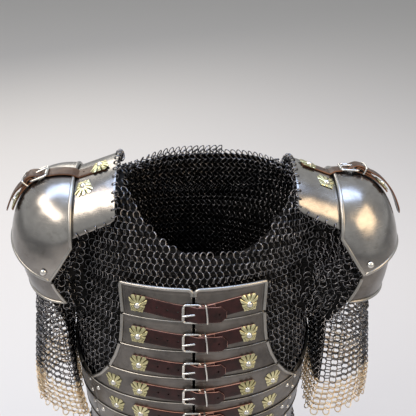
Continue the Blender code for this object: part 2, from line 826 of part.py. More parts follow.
def buckle_strap(name, seat, mount_along, width):
    """Short strap from its mount to the pivot bar, folded round it, with the wire keeper fixed on it."""
    start = mount_along + MOUNT_SIZE / 3
    slot_reach = FRAME_WIRE * 1.5
    beds = max(1, round((start - FOLD_LENGTH) / (FRAME_LENGTH * 0.8)))
    stations = [(start + (FOLD_LENGTH - start) * step / beds, FIRST_LAYER, 1.0) for step in range(beds + 1)]
    slot_start = len(stations)
    stations.append((slot_reach, FIRST_LAYER, 1.0))
    turns = 6
    for step in range(turns + 1):
        angle = -math.pi / 2 - math.pi * step / turns
        stations.append((EYE_RADIUS * math.cos(angle), BAR_HEIGHT + EYE_RADIUS * math.sin(angle), 1.0))
    stations.append((slot_reach, BAR_HEIGHT + EYE_RADIUS * 0.80, 1.0))
    slot_end = len(stations) - 1
    stations += [(FOLD_LENGTH * 0.55, FIRST_LAYER + LAYER * 1.12, 1.0),
                 (FOLD_LENGTH, FIRST_LAYER + LAYER, 1.0)]
    made = ribbon(name, seat, stations, (slot_start, slot_end), width=width, flip=True)
    add_mount(made, seat, mount_along)
    ring = keeper_route(seat, width)
    combine(made, tube_mesh(name + "_keeper", ring, KEEPER_WIRE / 2, cyclic=True), "UNION")
    return made


def keeper_route(seat, width):
    """Rectangle of wire round the straps, its lower bar bedded in the strap that carries it."""
    half = width / 2 + KEEPER_WIRE
    top = FIRST_LAYER + LAYER * 3 + KEEPER_WIRE / 2 + STRAP_GAP * 2
    corners = ((-half, FIRST_LAYER), (half, FIRST_LAYER), (half, top), (-half, top))
    return [seat.point(KEEPER_PLACE, across, off) for across, off in corners]


def buckle_frame(name, seat, surface):
    """Rectangle of round steel wire in one plane, its pivot bar inside the strap's fold."""
    origin, way, cross, normal = buckle_axes(seat)
    half = (FRAME_WIDTH - FRAME_WIRE) / 2
    corner = FRAME_WIRE * 0.8
    outline = [(0, -half), (0, half), (-FRAME_LENGTH + corner, half), (-FRAME_LENGTH, half - corner),
               (-FRAME_LENGTH, -half + corner), (-FRAME_LENGTH + corner, -half)]
    points = [origin + way * along + cross * across for along, across in outline]
    wire = tube_mesh(name, points, FRAME_WIRE / 2, cyclic=True)
    return release(wire, surface)


def buckle_axes(seat):
    """Pivot bar's middle and the frame's directions, along the chord under the frame."""
    pivot = seat.point(0, 0, BAR_HEIGHT)
    outer = seat.point(-FRAME_LENGTH, 0, BAR_HEIGHT)
    _, _, cross, _ = seat_axes(seat, 0)
    way = (pivot - outer).normalized()
    normal = way.cross(cross).normalized()
    if normal.dot(seat.point(0, 0, BAR_HEIGHT * 2) - pivot) < 0:
        normal = -normal
    cross = normal.cross(way)
    return pivot, way, cross, normal


def release(item, surface):
    """Turn a helper mesh into a piece of the armour."""
    CUTTERS.objects.unlink(item)
    ARMOUR.objects.link(item)
    item.data.materials.append(surface)
    return item


def buckle_tongue(name, seat, surface):
    """Flat tongue: hooked round the pivot bar, up through the slots, its tip resting on the outer bar."""
    origin, way, cross, normal = buckle_axes(seat)
    radius = FRAME_WIRE / 2 + STRAP_GAP + TONGUE_THICKNESS / 2
    turns = 6
    path = []
    for step in range(turns + 1):
        angle = math.radians(-150.0 + 240.0 * step / turns)
        path.append((radius * math.cos(angle), radius * math.sin(angle)))
    rest = FRAME_WIRE / 2 + STRAP_GAP + TONGUE_THICKNESS / 2
    path += [(-FRAME_LENGTH / 2, rest), (-FRAME_LENGTH - FRAME_WIRE / 2, rest)]
    half = TONGUE_WIDTH / 2
    rows = []
    for along, off in path:
        centre = way * along + normal * off
        rows.append([centre - cross * half, centre + cross * half])
    made = loft(name, rows, surface, flip=True)
    made.location = origin
    return solidify(made, TONGUE_THICKNESS, 0.0)


# Shoulder plates, cops and lower lames, described in the right shoulder's upright frame
def arch(share, half_depth, foot, top):
    """Height and fore-aft place on a half oval, share running from -1 at the front to 1 at the back."""
    angle = share * math.pi / 2
    return half_depth * math.sin(angle), foot + (top - foot) * math.cos(angle)


def plate_point(x_share, arch_share, lift=0.0):
    x = PLATE_INNER + (PLATE_OUTER - PLATE_INNER) * x_share
    foot = PLATE_FOOT_INNER + (PLATE_FOOT_OUTER - PLATE_FOOT_INNER) * x_share
    top = PLATE_TOP_INNER + (PLATE_TOP_OUTER - PLATE_TOP_INNER) * x_share
    y, z = arch(arch_share, PLATE_HALF_DEPTH, foot, top)
    return Vector((x, y, z + lift))


def spread(count):
    return [-1.0 + 2.0 * step / count for step in range(count + 1)]


def placed(points, side_name):
    return [shoulder_place(point, side_name) for point in points]


def shoulder_plate(side_name):
    edge_share = 0.93
    arches = 12
    rows = [placed([plate_point(x_share, share * edge_share) for x_share in (0, 0.5, 1)], side_name)
            for share in spread(arches)]
    plate = loft(f"{side_name}_shoulder_plate", rows, POLISHED_STEEL, flip=SIDES[side_name] < 0)
    solidify(plate, PLATE_THICKNESS, 1.0)
    for end in (-1, 1):
        mark = f"{plate.name}_link_{'front' if end < 0 else 'back'}"
        combine(plate, tube_mesh(mark, link_route(side_name, end), LINK_WIRE / 2, cyclic=True), "UNION")
    return plate


def link_route(side_name, end):
    """Ring that ties the plate's inner edge to the mail: an oblong between the plate and the mail under it."""
    side = SIDES[side_name]
    level = len(RINGS) - 1 - LINK_LEVEL_SHARE
    turn = column_angle(side_column(side)) + side * end * LINK_TURN
    bottom = body_point(level, turn) + body_normal(level, turn) * (LINK_WIRE / 2 + STRAP_GAP)
    top = shoulder_place(plate_point(LINK_INSET_SHARE, end * LINK_ARCH_SHARE, PLATE_THICKNESS / 2), side_name)
    upward = (top - bottom) / 2
    sideways = Vector((side * LINK_WIDTH / 2, 0, 0))
    middle = (top + bottom) / 2
    steps = 8
    turns = [2.0 * math.pi * (step + 0.5) / steps for step in range(steps)]
    return [middle + upward * math.sin(angle) / math.sin(math.pi / 2 - math.pi / steps)
            + sideways * math.cos(angle) for angle in turns]


def cop_point(arch_share, out_share):
    """On the cop: out_share runs from the inner rim over the dome to the outer rim."""
    y, z = arch(arch_share, COP_HALF_DEPTH, COP_FOOT, COP_TOP)
    inner = Vector((COP_INNER, y, z))
    tip = math.cos(arch_share * math.pi / 2)
    outer = Vector((COP_TIP_X + (COP_EDGE_X - COP_TIP_X) * tip,
                    COP_TIP_DEPTH * math.sin(arch_share * math.pi / 2),
                    COP_TIP_HEIGHT + (COP_EDGE_HEIGHT - COP_TIP_HEIGHT) * tip))
    swell_low = (COP_INNER + COP_TIP_X) / 2
    swell_height = (COP_FOOT + COP_TIP_HEIGHT) / 2
    swell = Vector((swell_low + (COP_SWELL_X - swell_low) * tip,
                    COP_TIP_DEPTH * 1.03 * math.sin(arch_share * math.pi / 2),
                    swell_height + (COP_SWELL_HEIGHT - swell_height) * tip))
    stay = 1.0 - out_share
    return inner * stay * stay + swell * 2.0 * stay * out_share + outer * out_share * out_share


def cop(side_name):
    arches = 12
    rows = [placed([cop_point(share, out / COP_OUTS) for out in range(COP_OUTS + 1)], side_name)
            for share in spread(arches)]
    name = f"{side_name}_cop"
    made = solidify(loft(name, rows, POLISHED_STEEL, flip=SIDES[side_name] < 0), COP_THICKNESS, 1.0)
    shares = spread(arches)
    route = [cop_point(share, 0) for share in shares]
    route += [cop_point(1, step / 3) for step in (1, 2)]
    route += [cop_point(share, 1) for share in reversed(shares)]
    route += [cop_point(-1, step / 3) for step in (2, 1)]
    rim = tube_mesh(name + "_rim", placed(route, side_name), COP_RIM_RADIUS, cyclic=True)
    combine(made, rim, "UNION")
    for end in (-1, 1):
        centre, axes = rivet_place(side_name, end)
        hole = oriented_dome(f"{name}_hole_{'front' if end < 0 else 'back'}", centre, axes,
                             LAME_RIVET_RADIUS + LAME_RIVET_PLAY, RIVET_RADIUS * 4, 1.0)
        combine(made, hole, "DIFFERENCE")
    return made


# Where the lower lame's two rivets pass through the cop: shares along the arch and out to the rim
RIVET_ARCH_SHARE = 0.88
RIVET_OUT_SHARE = 0.86


def rivet_place(side_name, end):
    """Where a rivet crosses the cop, and directions with the pin's own axis last."""
    local = cop_point(end * RIVET_ARCH_SHARE, RIVET_OUT_SHARE)
    centre = shoulder_place(local, side_name)
    outward = shoulder_place(local + Vector((0, end * RIVET_RADIUS, 0)), side_name) - centre
    outward.normalize()
    across = Vector((1, 0, 0))
    return centre, (across, outward.cross(across), outward)


def lower_lame_point(arch_share, drop_share):
    """On the lower lame: tucked inside the cop's outer rim, hanging below it."""
    tuck_share = 0.72
    tuck = inside_cop(arch_share, tuck_share)
    edge = inside_cop(arch_share, 1.0)
    crescent = 0.62 + 0.38 * math.cos(arch_share * math.pi / 2)
    end = edge + Vector((-LOWER_LAME_DROP * 0.15, 0, -LOWER_LAME_DROP)) * crescent
    stay = 1.0 - drop_share
    bow = edge + (edge - tuck) * 0.35
    return tuck * stay * stay + bow * 2.0 * stay * drop_share + end * drop_share * drop_share


def inside_cop(arch_share, out_share):
    """A place inside the cop, clear of its rolled rim."""
    step = 0.01
    narrowed = arch_share * 0.95
    here = cop_point(narrowed, out_share)
    along = cop_point(narrowed + step, out_share) - cop_point(narrowed - step, out_share)
    out = here - cop_point(narrowed, out_share - step)
    normal = out.cross(along).normalized()
    outward = Vector((here.x - COP_INNER, here.y, here.z - COP_FOOT))
    if normal.dot(outward) < 0:
        normal = -normal
    return here - normal * LOWER_LAME_CLEARANCE


def lower_lame(side_name):
    arches = 12
    drops = 3
    rows = [placed([lower_lame_point(share, drop / drops) for drop in range(drops + 1)], side_name)
            for share in spread(arches)]
    made = loft(f"{side_name}_lower_lame", rows, POLISHED_STEEL, flip=SIDES[side_name] < 0)
    solidify(made, COP_THICKNESS, -1.0)
    inside = LOWER_LAME_CLEARANCE + COP_THICKNESS * 1.5
    outside = COP_THICKNESS + LAME_RIVET_HEAD / 4
    for end in (-1, 1):
        centre, axes = rivet_place(side_name, end)
        mark = f"{made.name}_{'front' if end < 0 else 'back'}"
        pin = oriented_dome(mark + "_pin", centre + axes[2] * (outside + RIVET_HEIGHT / 2 - inside) / 2, axes,
                            LAME_RIVET_RADIUS, inside + outside + RIVET_HEIGHT / 2, 1.0)
        combine(made, pin, "UNION")
        head = oriented_dome(mark + "_head", centre + axes[2] * (outside + RIVET_HEIGHT / 2), axes,
                             LAME_RIVET_HEAD, RIVET_HEIGHT)
        combine(made, head, "UNION")
    return made


def shoulder_bed():
    """Line that the strap lies on: plate ridge, the cop's inner rim, the cop's ridge, and free below it."""
    plate_top = plate_point(0.35, 0, PLATE_THICKNESS)
    plate_end = Vector((COP_INNER - COP_RIM_RADIUS * 3, 0, plate_point(0.82, 0, PLATE_THICKNESS).z))
    rim = cop_point(0, 0) + Vector((0, 0, COP_RIM_RADIUS + STRAP_GAP))
    bed = [plate_point(0, 0, PLATE_THICKNESS), plate_top, plate_end, rim]
    for out in range(1, COP_OUTS + 1):
        here = cop_point(0, out / COP_OUTS)
        way = here - cop_point(0, (out - 1) / COP_OUTS)
        if out < COP_OUTS:
            way = cop_point(0, (out + 1) / COP_OUTS) - cop_point(0, (out - 1) / COP_OUTS)
        normal = Vector((-way.z, 0, way.x)).normalized()
        bed.append(here + normal * (COP_THICKNESS + STRAP_GAP * 3))
    bed.append(bed[-1] + Vector((0, 0, -LOWER_LAME_DROP)))
    return bed


def hang_at(item, place):
    """Put a moving piece's origin on its hinge's axis, the piece itself staying where it is."""
    item.data.transform(Matrix.Translation(-place))
    item.location = place


def build_shoulder(side_name):
    shoulder_plate(side_name)
    cop_hinge = shoulder_place(cop_point(0, 0), side_name)
    hang_at(cop(side_name), cop_hinge)
    lame_hinge = (rivet_place(side_name, -1)[0] + rivet_place(side_name, 1)[0]) / 2
    hang_at(lower_lame(side_name), lame_hinge)
    seat = ShoulderSeat(side_name)
    neck_mount = seat.place_of(SHOULDER_MOUNT_X) - seat.pivot
    cop_mount = MOUNT_HALF_SPACING / 2
    tail = shoulder_tail(SHOULDER_TAIL_END - seat.pivot)
    tail_strap(f"{side_name}_shoulder_strap", seat, neck_mount, tail, SHOULDER_STRAP_WIDTH)
    hang_at(buckle_strap(f"{side_name}_cop_strap", seat, cop_mount, SHOULDER_STRAP_WIDTH), cop_hinge)
    hang_at(buckle_frame(f"{side_name}_shoulder_buckle_frame", seat, BUCKLE_STEEL), cop_hinge)
    buckle_tongue(f"{side_name}_shoulder_buckle_tongue", seat, BUCKLE_STEEL)


def build_row(row):
    for side_name in SIDES:
        front_lame(row, side_name)
    seat = RowSeat(row)
    tail_strap(f"row_{row + 1}_tail_strap", seat, -MOUNT_HALF_SPACING - PIVOT_OFFSET, front_tail(), STRAP_WIDTH)
    buckle_strap(f"row_{row + 1}_buckle_strap", seat, MOUNT_HALF_SPACING - PIVOT_OFFSET, STRAP_WIDTH)
    buckle_frame(f"row_{row + 1}_buckle_frame", seat, BUCKLE_STEEL)
    buckle_tongue(f"row_{row + 1}_buckle_tongue", seat, BUCKLE_STEEL)


mail_body()
for side_key, side_sign in SIDES.items():
    sleeve(f"mail_sleeve_{side_key}", side_sign)
for row_index in range(ROWS):
    build_row(row_index)
back_plate()
for side_key in SIDES:
    build_shoulder(side_key)
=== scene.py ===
"""Ring mail shirt with a laminar steel cuirass and buckled shoulder defences, round its CAD frame."""

import math

import bmesh
import bpy
from mathutils import Matrix, Vector


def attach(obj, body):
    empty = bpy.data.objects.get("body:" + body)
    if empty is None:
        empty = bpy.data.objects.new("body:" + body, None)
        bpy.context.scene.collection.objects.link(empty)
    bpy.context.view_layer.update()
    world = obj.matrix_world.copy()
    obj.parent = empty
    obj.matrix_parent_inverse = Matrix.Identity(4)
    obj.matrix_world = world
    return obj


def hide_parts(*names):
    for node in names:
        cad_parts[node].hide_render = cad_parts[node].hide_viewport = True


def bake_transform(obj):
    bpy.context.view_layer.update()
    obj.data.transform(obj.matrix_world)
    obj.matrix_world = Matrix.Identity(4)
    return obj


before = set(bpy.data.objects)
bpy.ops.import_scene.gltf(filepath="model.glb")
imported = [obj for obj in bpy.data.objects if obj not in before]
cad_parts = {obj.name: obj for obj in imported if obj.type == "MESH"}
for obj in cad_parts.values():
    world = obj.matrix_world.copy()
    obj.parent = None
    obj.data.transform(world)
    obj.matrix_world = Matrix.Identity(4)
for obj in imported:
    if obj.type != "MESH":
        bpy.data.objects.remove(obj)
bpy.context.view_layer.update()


# Camera, studio light and floor
# The armour is looked down on from the front, as a seller would show it, on a plain pale floor. A warm lamp
# at each side, a cool one overhead and a faint one behind, all broad and soft, give long quiet reflections.
def linear(hex_colour):
    """The linear colour that Blender's sockets take, from an sRGB hex value."""
    shades = [int(hex_colour[place:place + 2], 16) / 255 for place in (1, 3, 5)]
    return (*[shade / 12.92 if shade <= 0.04045 else ((shade + 0.055) / 1.055) ** 2.4
              for shade in shades], 1.0)


def output_of(source):
    """An output as it is, or a node's first one."""
    return source.outputs[0] if isinstance(source, bpy.types.Node) else source


def add_node(tree, kind, values=None, links=None, **settings):
    """One node with its settings, the values of its sockets and what feeds them."""
    node = tree.nodes.new(kind)
    for name, value in settings.items():
        setattr(node, name, value)
    for socket, value in (values or {}).items():
        node.inputs[socket].default_value = value
    for socket, source in (links or {}).items():
        tree.links.new(output_of(source), node.inputs[socket])
    return node


def surface_finish(name):
    """A new material, its node tree and the place on the piece that its patterns read."""
    made = bpy.data.materials.new(name)
    made.use_nodes = True
    return made, made.node_tree, add_node(made.node_tree, "ShaderNodeTexCoord").outputs["Object"]


def finished(made, links, values):
    """The material, its shader fed by the links and set to the values."""
    shader = made.node_tree.nodes["Principled BSDF"]
    for socket, source in links.items():
        made.node_tree.links.new(output_of(source), shader.inputs[socket])
    for socket, value in values.items():
        shader.inputs[socket].default_value = value
    return made


def place_in_scene(item):
    bpy.context.scene.collection.objects.link(item)
    return item


film_width = 36.0
picture_pixels = 416.0
focal_pixels = 700.0
camera_data = bpy.data.cameras.new("camera")
camera_data.sensor_width = film_width
camera_data.lens = film_width * focal_pixels / picture_pixels
camera = place_in_scene(bpy.data.objects.new("camera", camera_data))
camera_place = (-0.029, -0.8233, 1.1448)
to_right = Vector((0.99935, -0.03349, 0.01307))
to_below = Vector((-0.00579, -0.50872, -0.86091))
ahead = Vector((0.03548, 0.86028, -0.50858))
camera.matrix_world = Matrix.Translation(camera_place) @ Matrix(
    (to_right, -to_below, -ahead)).transposed().to_4x4()
bpy.context.scene.camera = camera

lamps = {  # place, what it looks at, width and height in metres, watts, colour
    "key_lamp": ((-1.5, -0.7, 2.4), (0, 0, 0.55), (2.4, 0.8), 46.0, "#ffeedc"),
    "fill_lamp": ((1.7, -1.0, 1.9), (0, 0, 0.5), (1.6, 1.1), 24.0, "#ffdcae"),
    "top_lamp": ((0.0, 0.32, 2.4), (0, 0, 0.6), (2.6, 0.8), 36.0, "#c4d9ff"),
    "back_lamp": ((-0.8, 1.9, 1.5), (0, 0, 0.5), (1.4, 0.8), 12.0, "#fff6ea"),
}
for lamp_name, (place, aim, (lamp_width, lamp_height), watts, tint) in lamps.items():
    lamp_data = bpy.data.lights.new(lamp_name, "AREA")
    lamp_data.shape = "RECTANGLE"
    lamp_data.size = lamp_width
    lamp_data.size_y = lamp_height
    lamp_data.energy = watts
    lamp_data.color = linear(tint)[:3]
    lamp = place_in_scene(bpy.data.objects.new(lamp_name, lamp_data))
    turn = (Vector(aim) - Vector(place)).to_track_quat("-Z", "Y")
    lamp.matrix_world = Matrix.Translation(place) @ turn.to_matrix().to_4x4()

world = bpy.data.worlds.new("studio")
bpy.context.scene.world = world
world.use_nodes = True
world.node_tree.nodes.clear()
air = world.node_tree
rays = add_node(air, "ShaderNodeLightPath").outputs
mirrored = add_node(air, "ShaderNodeMath", operation="MAXIMUM",
                    links={0: rays["Is Glossy Ray"], 1: rays["Is Transmission Ray"]})
seen = add_node(air, "ShaderNodeMath", operation="MAXIMUM", links={0: rays["Is Camera Ray"], 1: mirrored})
glow = add_node(air, "ShaderNodeBackground", {"Color": linear("#d8dbe0"), "Strength": 0.42})
backdrop = add_node(air, "ShaderNodeBackground", {"Color": linear("#e6e6e4"), "Strength": 0.9})
both = add_node(air, "ShaderNodeMixShader", links={0: seen, 1: glow, 2: backdrop})
add_node(air, "ShaderNodeOutputWorld", links={"Surface": both})

bpy.context.scene.view_settings.view_transform = "Standard"

floor_reach = 12.0
floor_corners = [(x * floor_reach, y * floor_reach, 0) for x, y in ((-1, -1), (1, -1), (1, 1), (-1, 1))]
floor_mesh = bpy.data.meshes.new("floor")
floor_mesh.from_pydata(floor_corners, [], [(0, 1, 2, 3)])
studio_floor = place_in_scene(bpy.data.objects.new("studio_floor", floor_mesh))
# Matt pale paint on the studio's floor
floor_paint = surface_finish("matt_pale_floor_paint")[0]
floor_mesh.materials.append(finished(floor_paint, {}, {"Base Color": linear("#dddcd8"), "Roughness": 0.9}))


# The body form
# The mail and the cuirass hang in the shape that they have when worn: level squared ovals from hem to
# neck, whose heights droop to the front and back above the cuirass. Every piece is laid on this form.
body_sections = (
    # height at the side, half width, depth in front, depth behind, squareness, centre,
    # height in front, height behind, droop
    (0.0000, 0.2000, 0.1650, 0.1650, 2.00, -0.0160, 0.0000, 0.0000, 2.0),
    (0.0500, 0.2000, 0.1650, 0.1650, 2.00, -0.0160, 0.0500, 0.0500, 2.0),
    (0.1368, 0.1890, 0.1535, 0.1535, 2.10, -0.0160, 0.1368, 0.1368, 2.0),
    (0.2630, 0.1690, 0.1320, 0.1320, 2.10, -0.0160, 0.2630, 0.2630, 2.0),
    (0.3040, 0.1573, 0.1241, 0.1178, 2.20, -0.0160, 0.3040, 0.3040, 2.0),
    (0.3450, 0.1635, 0.1280, 0.1216, 2.20, -0.0160, 0.3450, 0.3450, 2.0),
    (0.3860, 0.1675, 0.1310, 0.1261, 2.20, -0.0160, 0.3860, 0.3860, 2.0),
    (0.4270, 0.1700, 0.1310, 0.1280, 2.20, -0.0160, 0.4270, 0.4270, 2.0),
    (0.4680, 0.1700, 0.1260, 0.1280, 2.20, -0.0160, 0.4680, 0.4680, 2.0),
    (0.5090, 0.1700, 0.1189, 0.1261, 2.10, -0.0160, 0.5090, 0.5090, 2.0),
    (0.5500, 0.1714, 0.1079, 0.1235, 1.90, -0.0160, 0.5500, 0.5500, 2.0),
    (0.5910, 0.1734, 0.0941, 0.1190, 1.75, -0.0160, 0.5910, 0.5910, 2.0),
    (0.6310, 0.1751, 0.0905, 0.1152, 1.90, -0.0078, 0.6014, 0.6160, 2.4),
    (0.6785, 0.1675, 0.0867, 0.1088, 2.00, -0.0019, 0.6106, 0.6360, 2.4),
    (0.7110, 0.1394, 0.0823, 0.0973, 2.10, 0.0028, 0.6199, 0.6522, 2.4),
    (0.7085, 0.1100, 0.0740, 0.0781, 2.50, 0.0075, 0.6320, 0.7160, 2.2),
)
neck_level = len(body_sections) - 1
top_line = 11  # the level of the cuirass's top
cuirass_top = 0.591
pitch = 0.041  # from one strip of the cuirass to the next
rows_of_lames = 7
cuirass_foot = cuirass_top - rows_of_lames * pitch
front = -math.pi / 2


def squared(value, square):
    """Sine or cosine turned into the matching reach of a squared oval."""
    return math.copysign(abs(value) ** (2.0 / square), value)


def section_at(level):
    lower = max(0, min(neck_level - 1, math.floor(level)))
    share = level - lower
    return [here + (after - here) * share
            for here, after in zip(body_sections[lower], body_sections[lower + 1])]


def body_point(level, angle):
    side_height, half_width, fore, aft, square, centre, fore_height, aft_height, droop = section_at(level)
    along = math.sin(angle)
    end_height = fore_height if along < 0 else aft_height
    return Vector((centre + half_width * squared(math.cos(angle), square),
                   (fore if along < 0 else aft) * squared(along, square),
                   side_height + (end_height - side_height) * abs(along) ** droop))


def body_normal(level, angle):
    """Outward direction, from the slopes along and across over a third of a lame."""
    turn_step = math.radians(1.5)
    level_step = 0.15
    along = body_point(level, angle + turn_step) - body_point(level, angle - turn_step)
    up = body_point(level + level_step, angle) - body_point(level - level_step, angle)
    return along.cross(up).normalized()


def level_at(height):
    """Level of a height at or below the top of the cuirass."""
    for level in range(top_line):
        low, high = body_sections[level][0], body_sections[level + 1][0]
        if height <= high:
            return level + max(0.0, (height - low) / (high - low))
    return top_line + (height - cuirass_top) / pitch


def front_angle(level, distance):
    """Angle on the front at a sideways distance from the cuirass's centre line."""
    section = section_at(level)
    share = min(1.0, abs(distance) / section[1])
    return front + math.copysign(math.asin(share ** (section[4] / 2.0)), distance)


# Ring mail
# A shirt knitted of round blackened steel wire rings, every ring through four others, in rows that lean
# left and right by turns. Brass rings close the hem and the sleeves. A near-black sheet inside the rings
# stands for the black form the shirt hangs on, and is painted shade for the dark inside of the shirt.
ring_outside = 0.0122
ring_wire = 0.00175
row_pitch = 0.0086
rings_round = 100
round_steps = 240
ring_lean = math.radians(37.0)
ring_depth = 0.0036  # from the form's surface in to the rings' middle
inner_ring_depth = 0.0105
seen_inside_from = 0.38
hem_room = 0.45  # of a row, below the lowest row
neck_room = ring_outside * 0.2
brass_rows = 7
brass_sleeve_rows = 6
armhole_levels = (top_line - 2, top_line + 2)
armhole_half_turn = math.radians(30.0)
tucked_turn, tucked_levels = 0.05, 0.14  # how far the body's rings run on under the sleeve's
flank_half_width = 0.170
back_half_depth = 0.128
# Strips below the cuirass's top, and there the front edge's place to the side, as a share of the flank's
# half width, and the back edge's place behind, as a share of the back's depth
edge_shares = ((0.0, 0.560), (1.0, 0.547), (1.5, 0.555), (2.0, 0.572), (2.5, 0.612), (3.0, 0.668),
               (3.5, 0.742), (4.0, 0.841), (5.0, 0.812), (6.0, 0.788), (7.5, 0.762))
back_edge_shares = ((-1.0, 0.70), (1.3, 0.67), (2.15, 0.55), (2.85, 0.30), (3.40, -0.05), (3.75, -0.45),
                    (3.95, -0.90))
all_behind = -1.0  # the back edge's depth where the back plate has no armhole


def read_table(table, value):
    """Straight-line reading of a table of pairs."""
    for (low, low_value), (high, high_value) in zip(table, table[1:]):
        if value <= high:
            return low_value + (high_value - low_value) * max(0.0, (value - low) / (high - low))
    return table[-1][1]


def edge_distance(level):
    """Sideways reach of the cuirass's front edge."""
    return flank_half_width * read_table(edge_shares, top_line - level)


def pose_of(centre, along, up, out):
    """Place and turn of a repeated part, its own X, Y and Z along, up and out."""
    return centre, Matrix((along, up, out)).transposed().to_euler()


def ring_pose(surface, up, out, row, depth=ring_depth):
    """A ring in the knit: leaning about the row's upward direction, to one side or the other by rows."""
    along = up.cross(out).normalized()
    out = along.cross(up).normalized()
    lean = ring_lean if row % 2 else -ring_lean
    leaning_out = out * math.cos(lean) + along * math.sin(lean)
    return pose_of(surface - out * depth, up.cross(leaning_out), up, leaning_out)


def along_path(points, distances):
    """Places on a broken line at distances along it, with the share of the way in the points' numbering."""
    found = []
    travelled = 0.0
    index = 0
    for distance in distances:
        while index < len(points) - 2 and travelled + (points[index + 1] - points[index]).length < distance:
            travelled += (points[index + 1] - points[index]).length
            index += 1
        length = (points[index + 1] - points[index]).length
        share = min(1.0, max(0.0, (distance - travelled) / length))
        found.append((points[index].lerp(points[index + 1], share), index + share))
    return found


def path_length(points):
    return sum((after - here).length for here, after in zip(points, points[1:]))


def in_armhole(level, angle, side_margin=0.0, level_margin=0.0):
    off_side = abs(math.remainder(angle, math.pi))
    return (armhole_levels[0] + level_margin < level < armhole_levels[1] - level_margin
            and off_side < armhole_half_turn - side_margin)


def back_edge_depth(height):
    """How far back the back plate's armhole edge lies at a height."""
    below = (cuirass_top - height) / pitch
    if below >= back_edge_shares[-1][0]:
        return all_behind
    return back_half_depth * read_table(back_edge_shares, below)


def under_plates(place, level):
    """Whether the cuirass hides this place, save for the first rows inside its edges."""
    tucked = 0.016
    if level > top_line - tucked / pitch or place.z < cuirass_foot + tucked / 2:
        return False
    centre = section_at(level)[5]
    if place.y < 0 and abs(place.x - centre) < edge_distance(level) - tucked:
        return True
    return place.y > back_edge_depth(place.z) + tucked


def round_the_body(level):
    """The level's oval in short steps from the front, and the spacing of the rings round it."""
    points = [body_point(level, front + 2 * math.pi * step / round_steps) for step in range(round_steps + 1)]
    return points, path_length(points) / rings_round


def body_ring_rows(inside=False):
    """(row, height, pose) of every ring of the shirt's body that shows outside, or inside the back."""
    found = []
    for row in range(-int(cuirass_top / row_pitch - hem_room), 1):
        height = cuirass_top + row * row_pitch
        level = level_at(height)
        points, spacing = round_the_body(level)
        distances = [(ring + (row % 2) / 2) * spacing for ring in range(rings_round)]
        for surface, share in along_path(points, distances):
            angle = front + 2 * math.pi * share / round_steps
            if inside:
                hidden = surface.y < 0 or height < seen_inside_from
            else:
                hidden = under_plates(surface, level)
            if hidden or in_armhole(level, angle, tucked_turn, tucked_levels):
                continue
            out = body_normal(level, angle)
            up = (Vector((0, 0, 1)) - out * out.z).normalized()
            depth = inner_ring_depth if inside else ring_depth
            found.append((row, height, ring_pose(surface, up, out, row, depth)))
    return found


def yoke_column(side_distance, back_half):
    """Levels and angles up the yoke at one sideways place, to the shoulder's ridge or the neck."""
    column = []
    steps = 48
    for step in range(steps + 1):
        level = top_line + (neck_level - top_line) * step / steps
        section = section_at(level)
        share = abs(side_distance - section[5]) / section[1]
        if share > 1.0:
            break
        turn = math.acos(math.copysign(share ** (section[4] / 2.0), side_distance - section[5]))
        column.append((level, turn if back_half else -turn))
    return column


def yoke_ring_rows(depth=ring_depth):
    """(row, place behind, pose) of the rings above the cuirass, in columns that climb from its top line."""
    found = []
    points, spacing = round_the_body(top_line)
    halves = [half * spacing / 2 for half in range(2 * rings_round)]
    for half, (surface, _) in enumerate(along_path(points, halves)):
        column = yoke_column(surface.x, surface.y > 0)
        line = [body_point(level, angle) for level, angle in column]
        if len(line) < 3:
            continue
        last_row = int((path_length(line) - neck_room) / row_pitch)
        rows = [row for row in range(1, last_row + 1) if row % 2 == half % 2]
        for row, (place, share) in zip(rows, along_path(line, [row * row_pitch for row in rows])):
            index = min(int(share), len(column) - 2)
            level, angle = (here + (after - here) * (share - index)
                            for here, after in zip(column[index], column[index + 1]))
            if in_armhole(level, angle):
                continue
            out = body_normal(level, angle)
            way = (line[index + 1] - line[index]).normalized()
            up = (way - out * way.dot(out)).normalized()
            found.append((row, place.y, ring_pose(place, up, out, row, depth)))
    return found


# Sleeve sections from the armhole down: share of the way out, share of the way down outside and inside,
# share of the hem's depth, squareness
sleeve_shares = ((0.45, 0.02, 0.05, 0.92, 5.0), (0.76, 0.14, 0.14, 0.82, 3.0), (0.80, 0.31, 0.28, 0.80, 2.3),
                 (0.88, 0.55, 0.52, 0.92, 2.2))
sleeve_outer = 0.252
sleeve_hem = 0.352
sleeve_band = 0.050
sleeve_band_square = 2.1
sleeve_half_depth = 0.062
sleeve_middle = -0.030
sleeve_side_gap = 0.0009
sleeve_clearance = 0.0035
front_sweep = {-1: 0.044, 1: 0.030}  # how far the sleeve's front leans in to the body, by side
sleeve_pitch = 0.0098
first_ring, last_room = 1.2, 0.8  # half rows from the hem to the first ring, and left above the last one
straight_halves = 30
straight_count = 36
upper_spacing = 0.0162
sides = {"left": -1, "right": 1}


def armhole_point(side, share):
    """On the shirt's armhole: share runs from its bottom front corner under the arm and up the back."""
    turn_end = armhole_half_turn
    low, high = armhole_levels
    corners = ((-turn_end, low), (turn_end, low), (turn_end, high), (-turn_end, high), (-turn_end, low))
    leg = min(3, int(share * 4))
    part = share * 4 - leg
    turn, level = (here + (after - here) * part for here, after in zip(corners[leg], corners[leg + 1]))
    return body_point(level, turn if side > 0 else math.pi - turn)


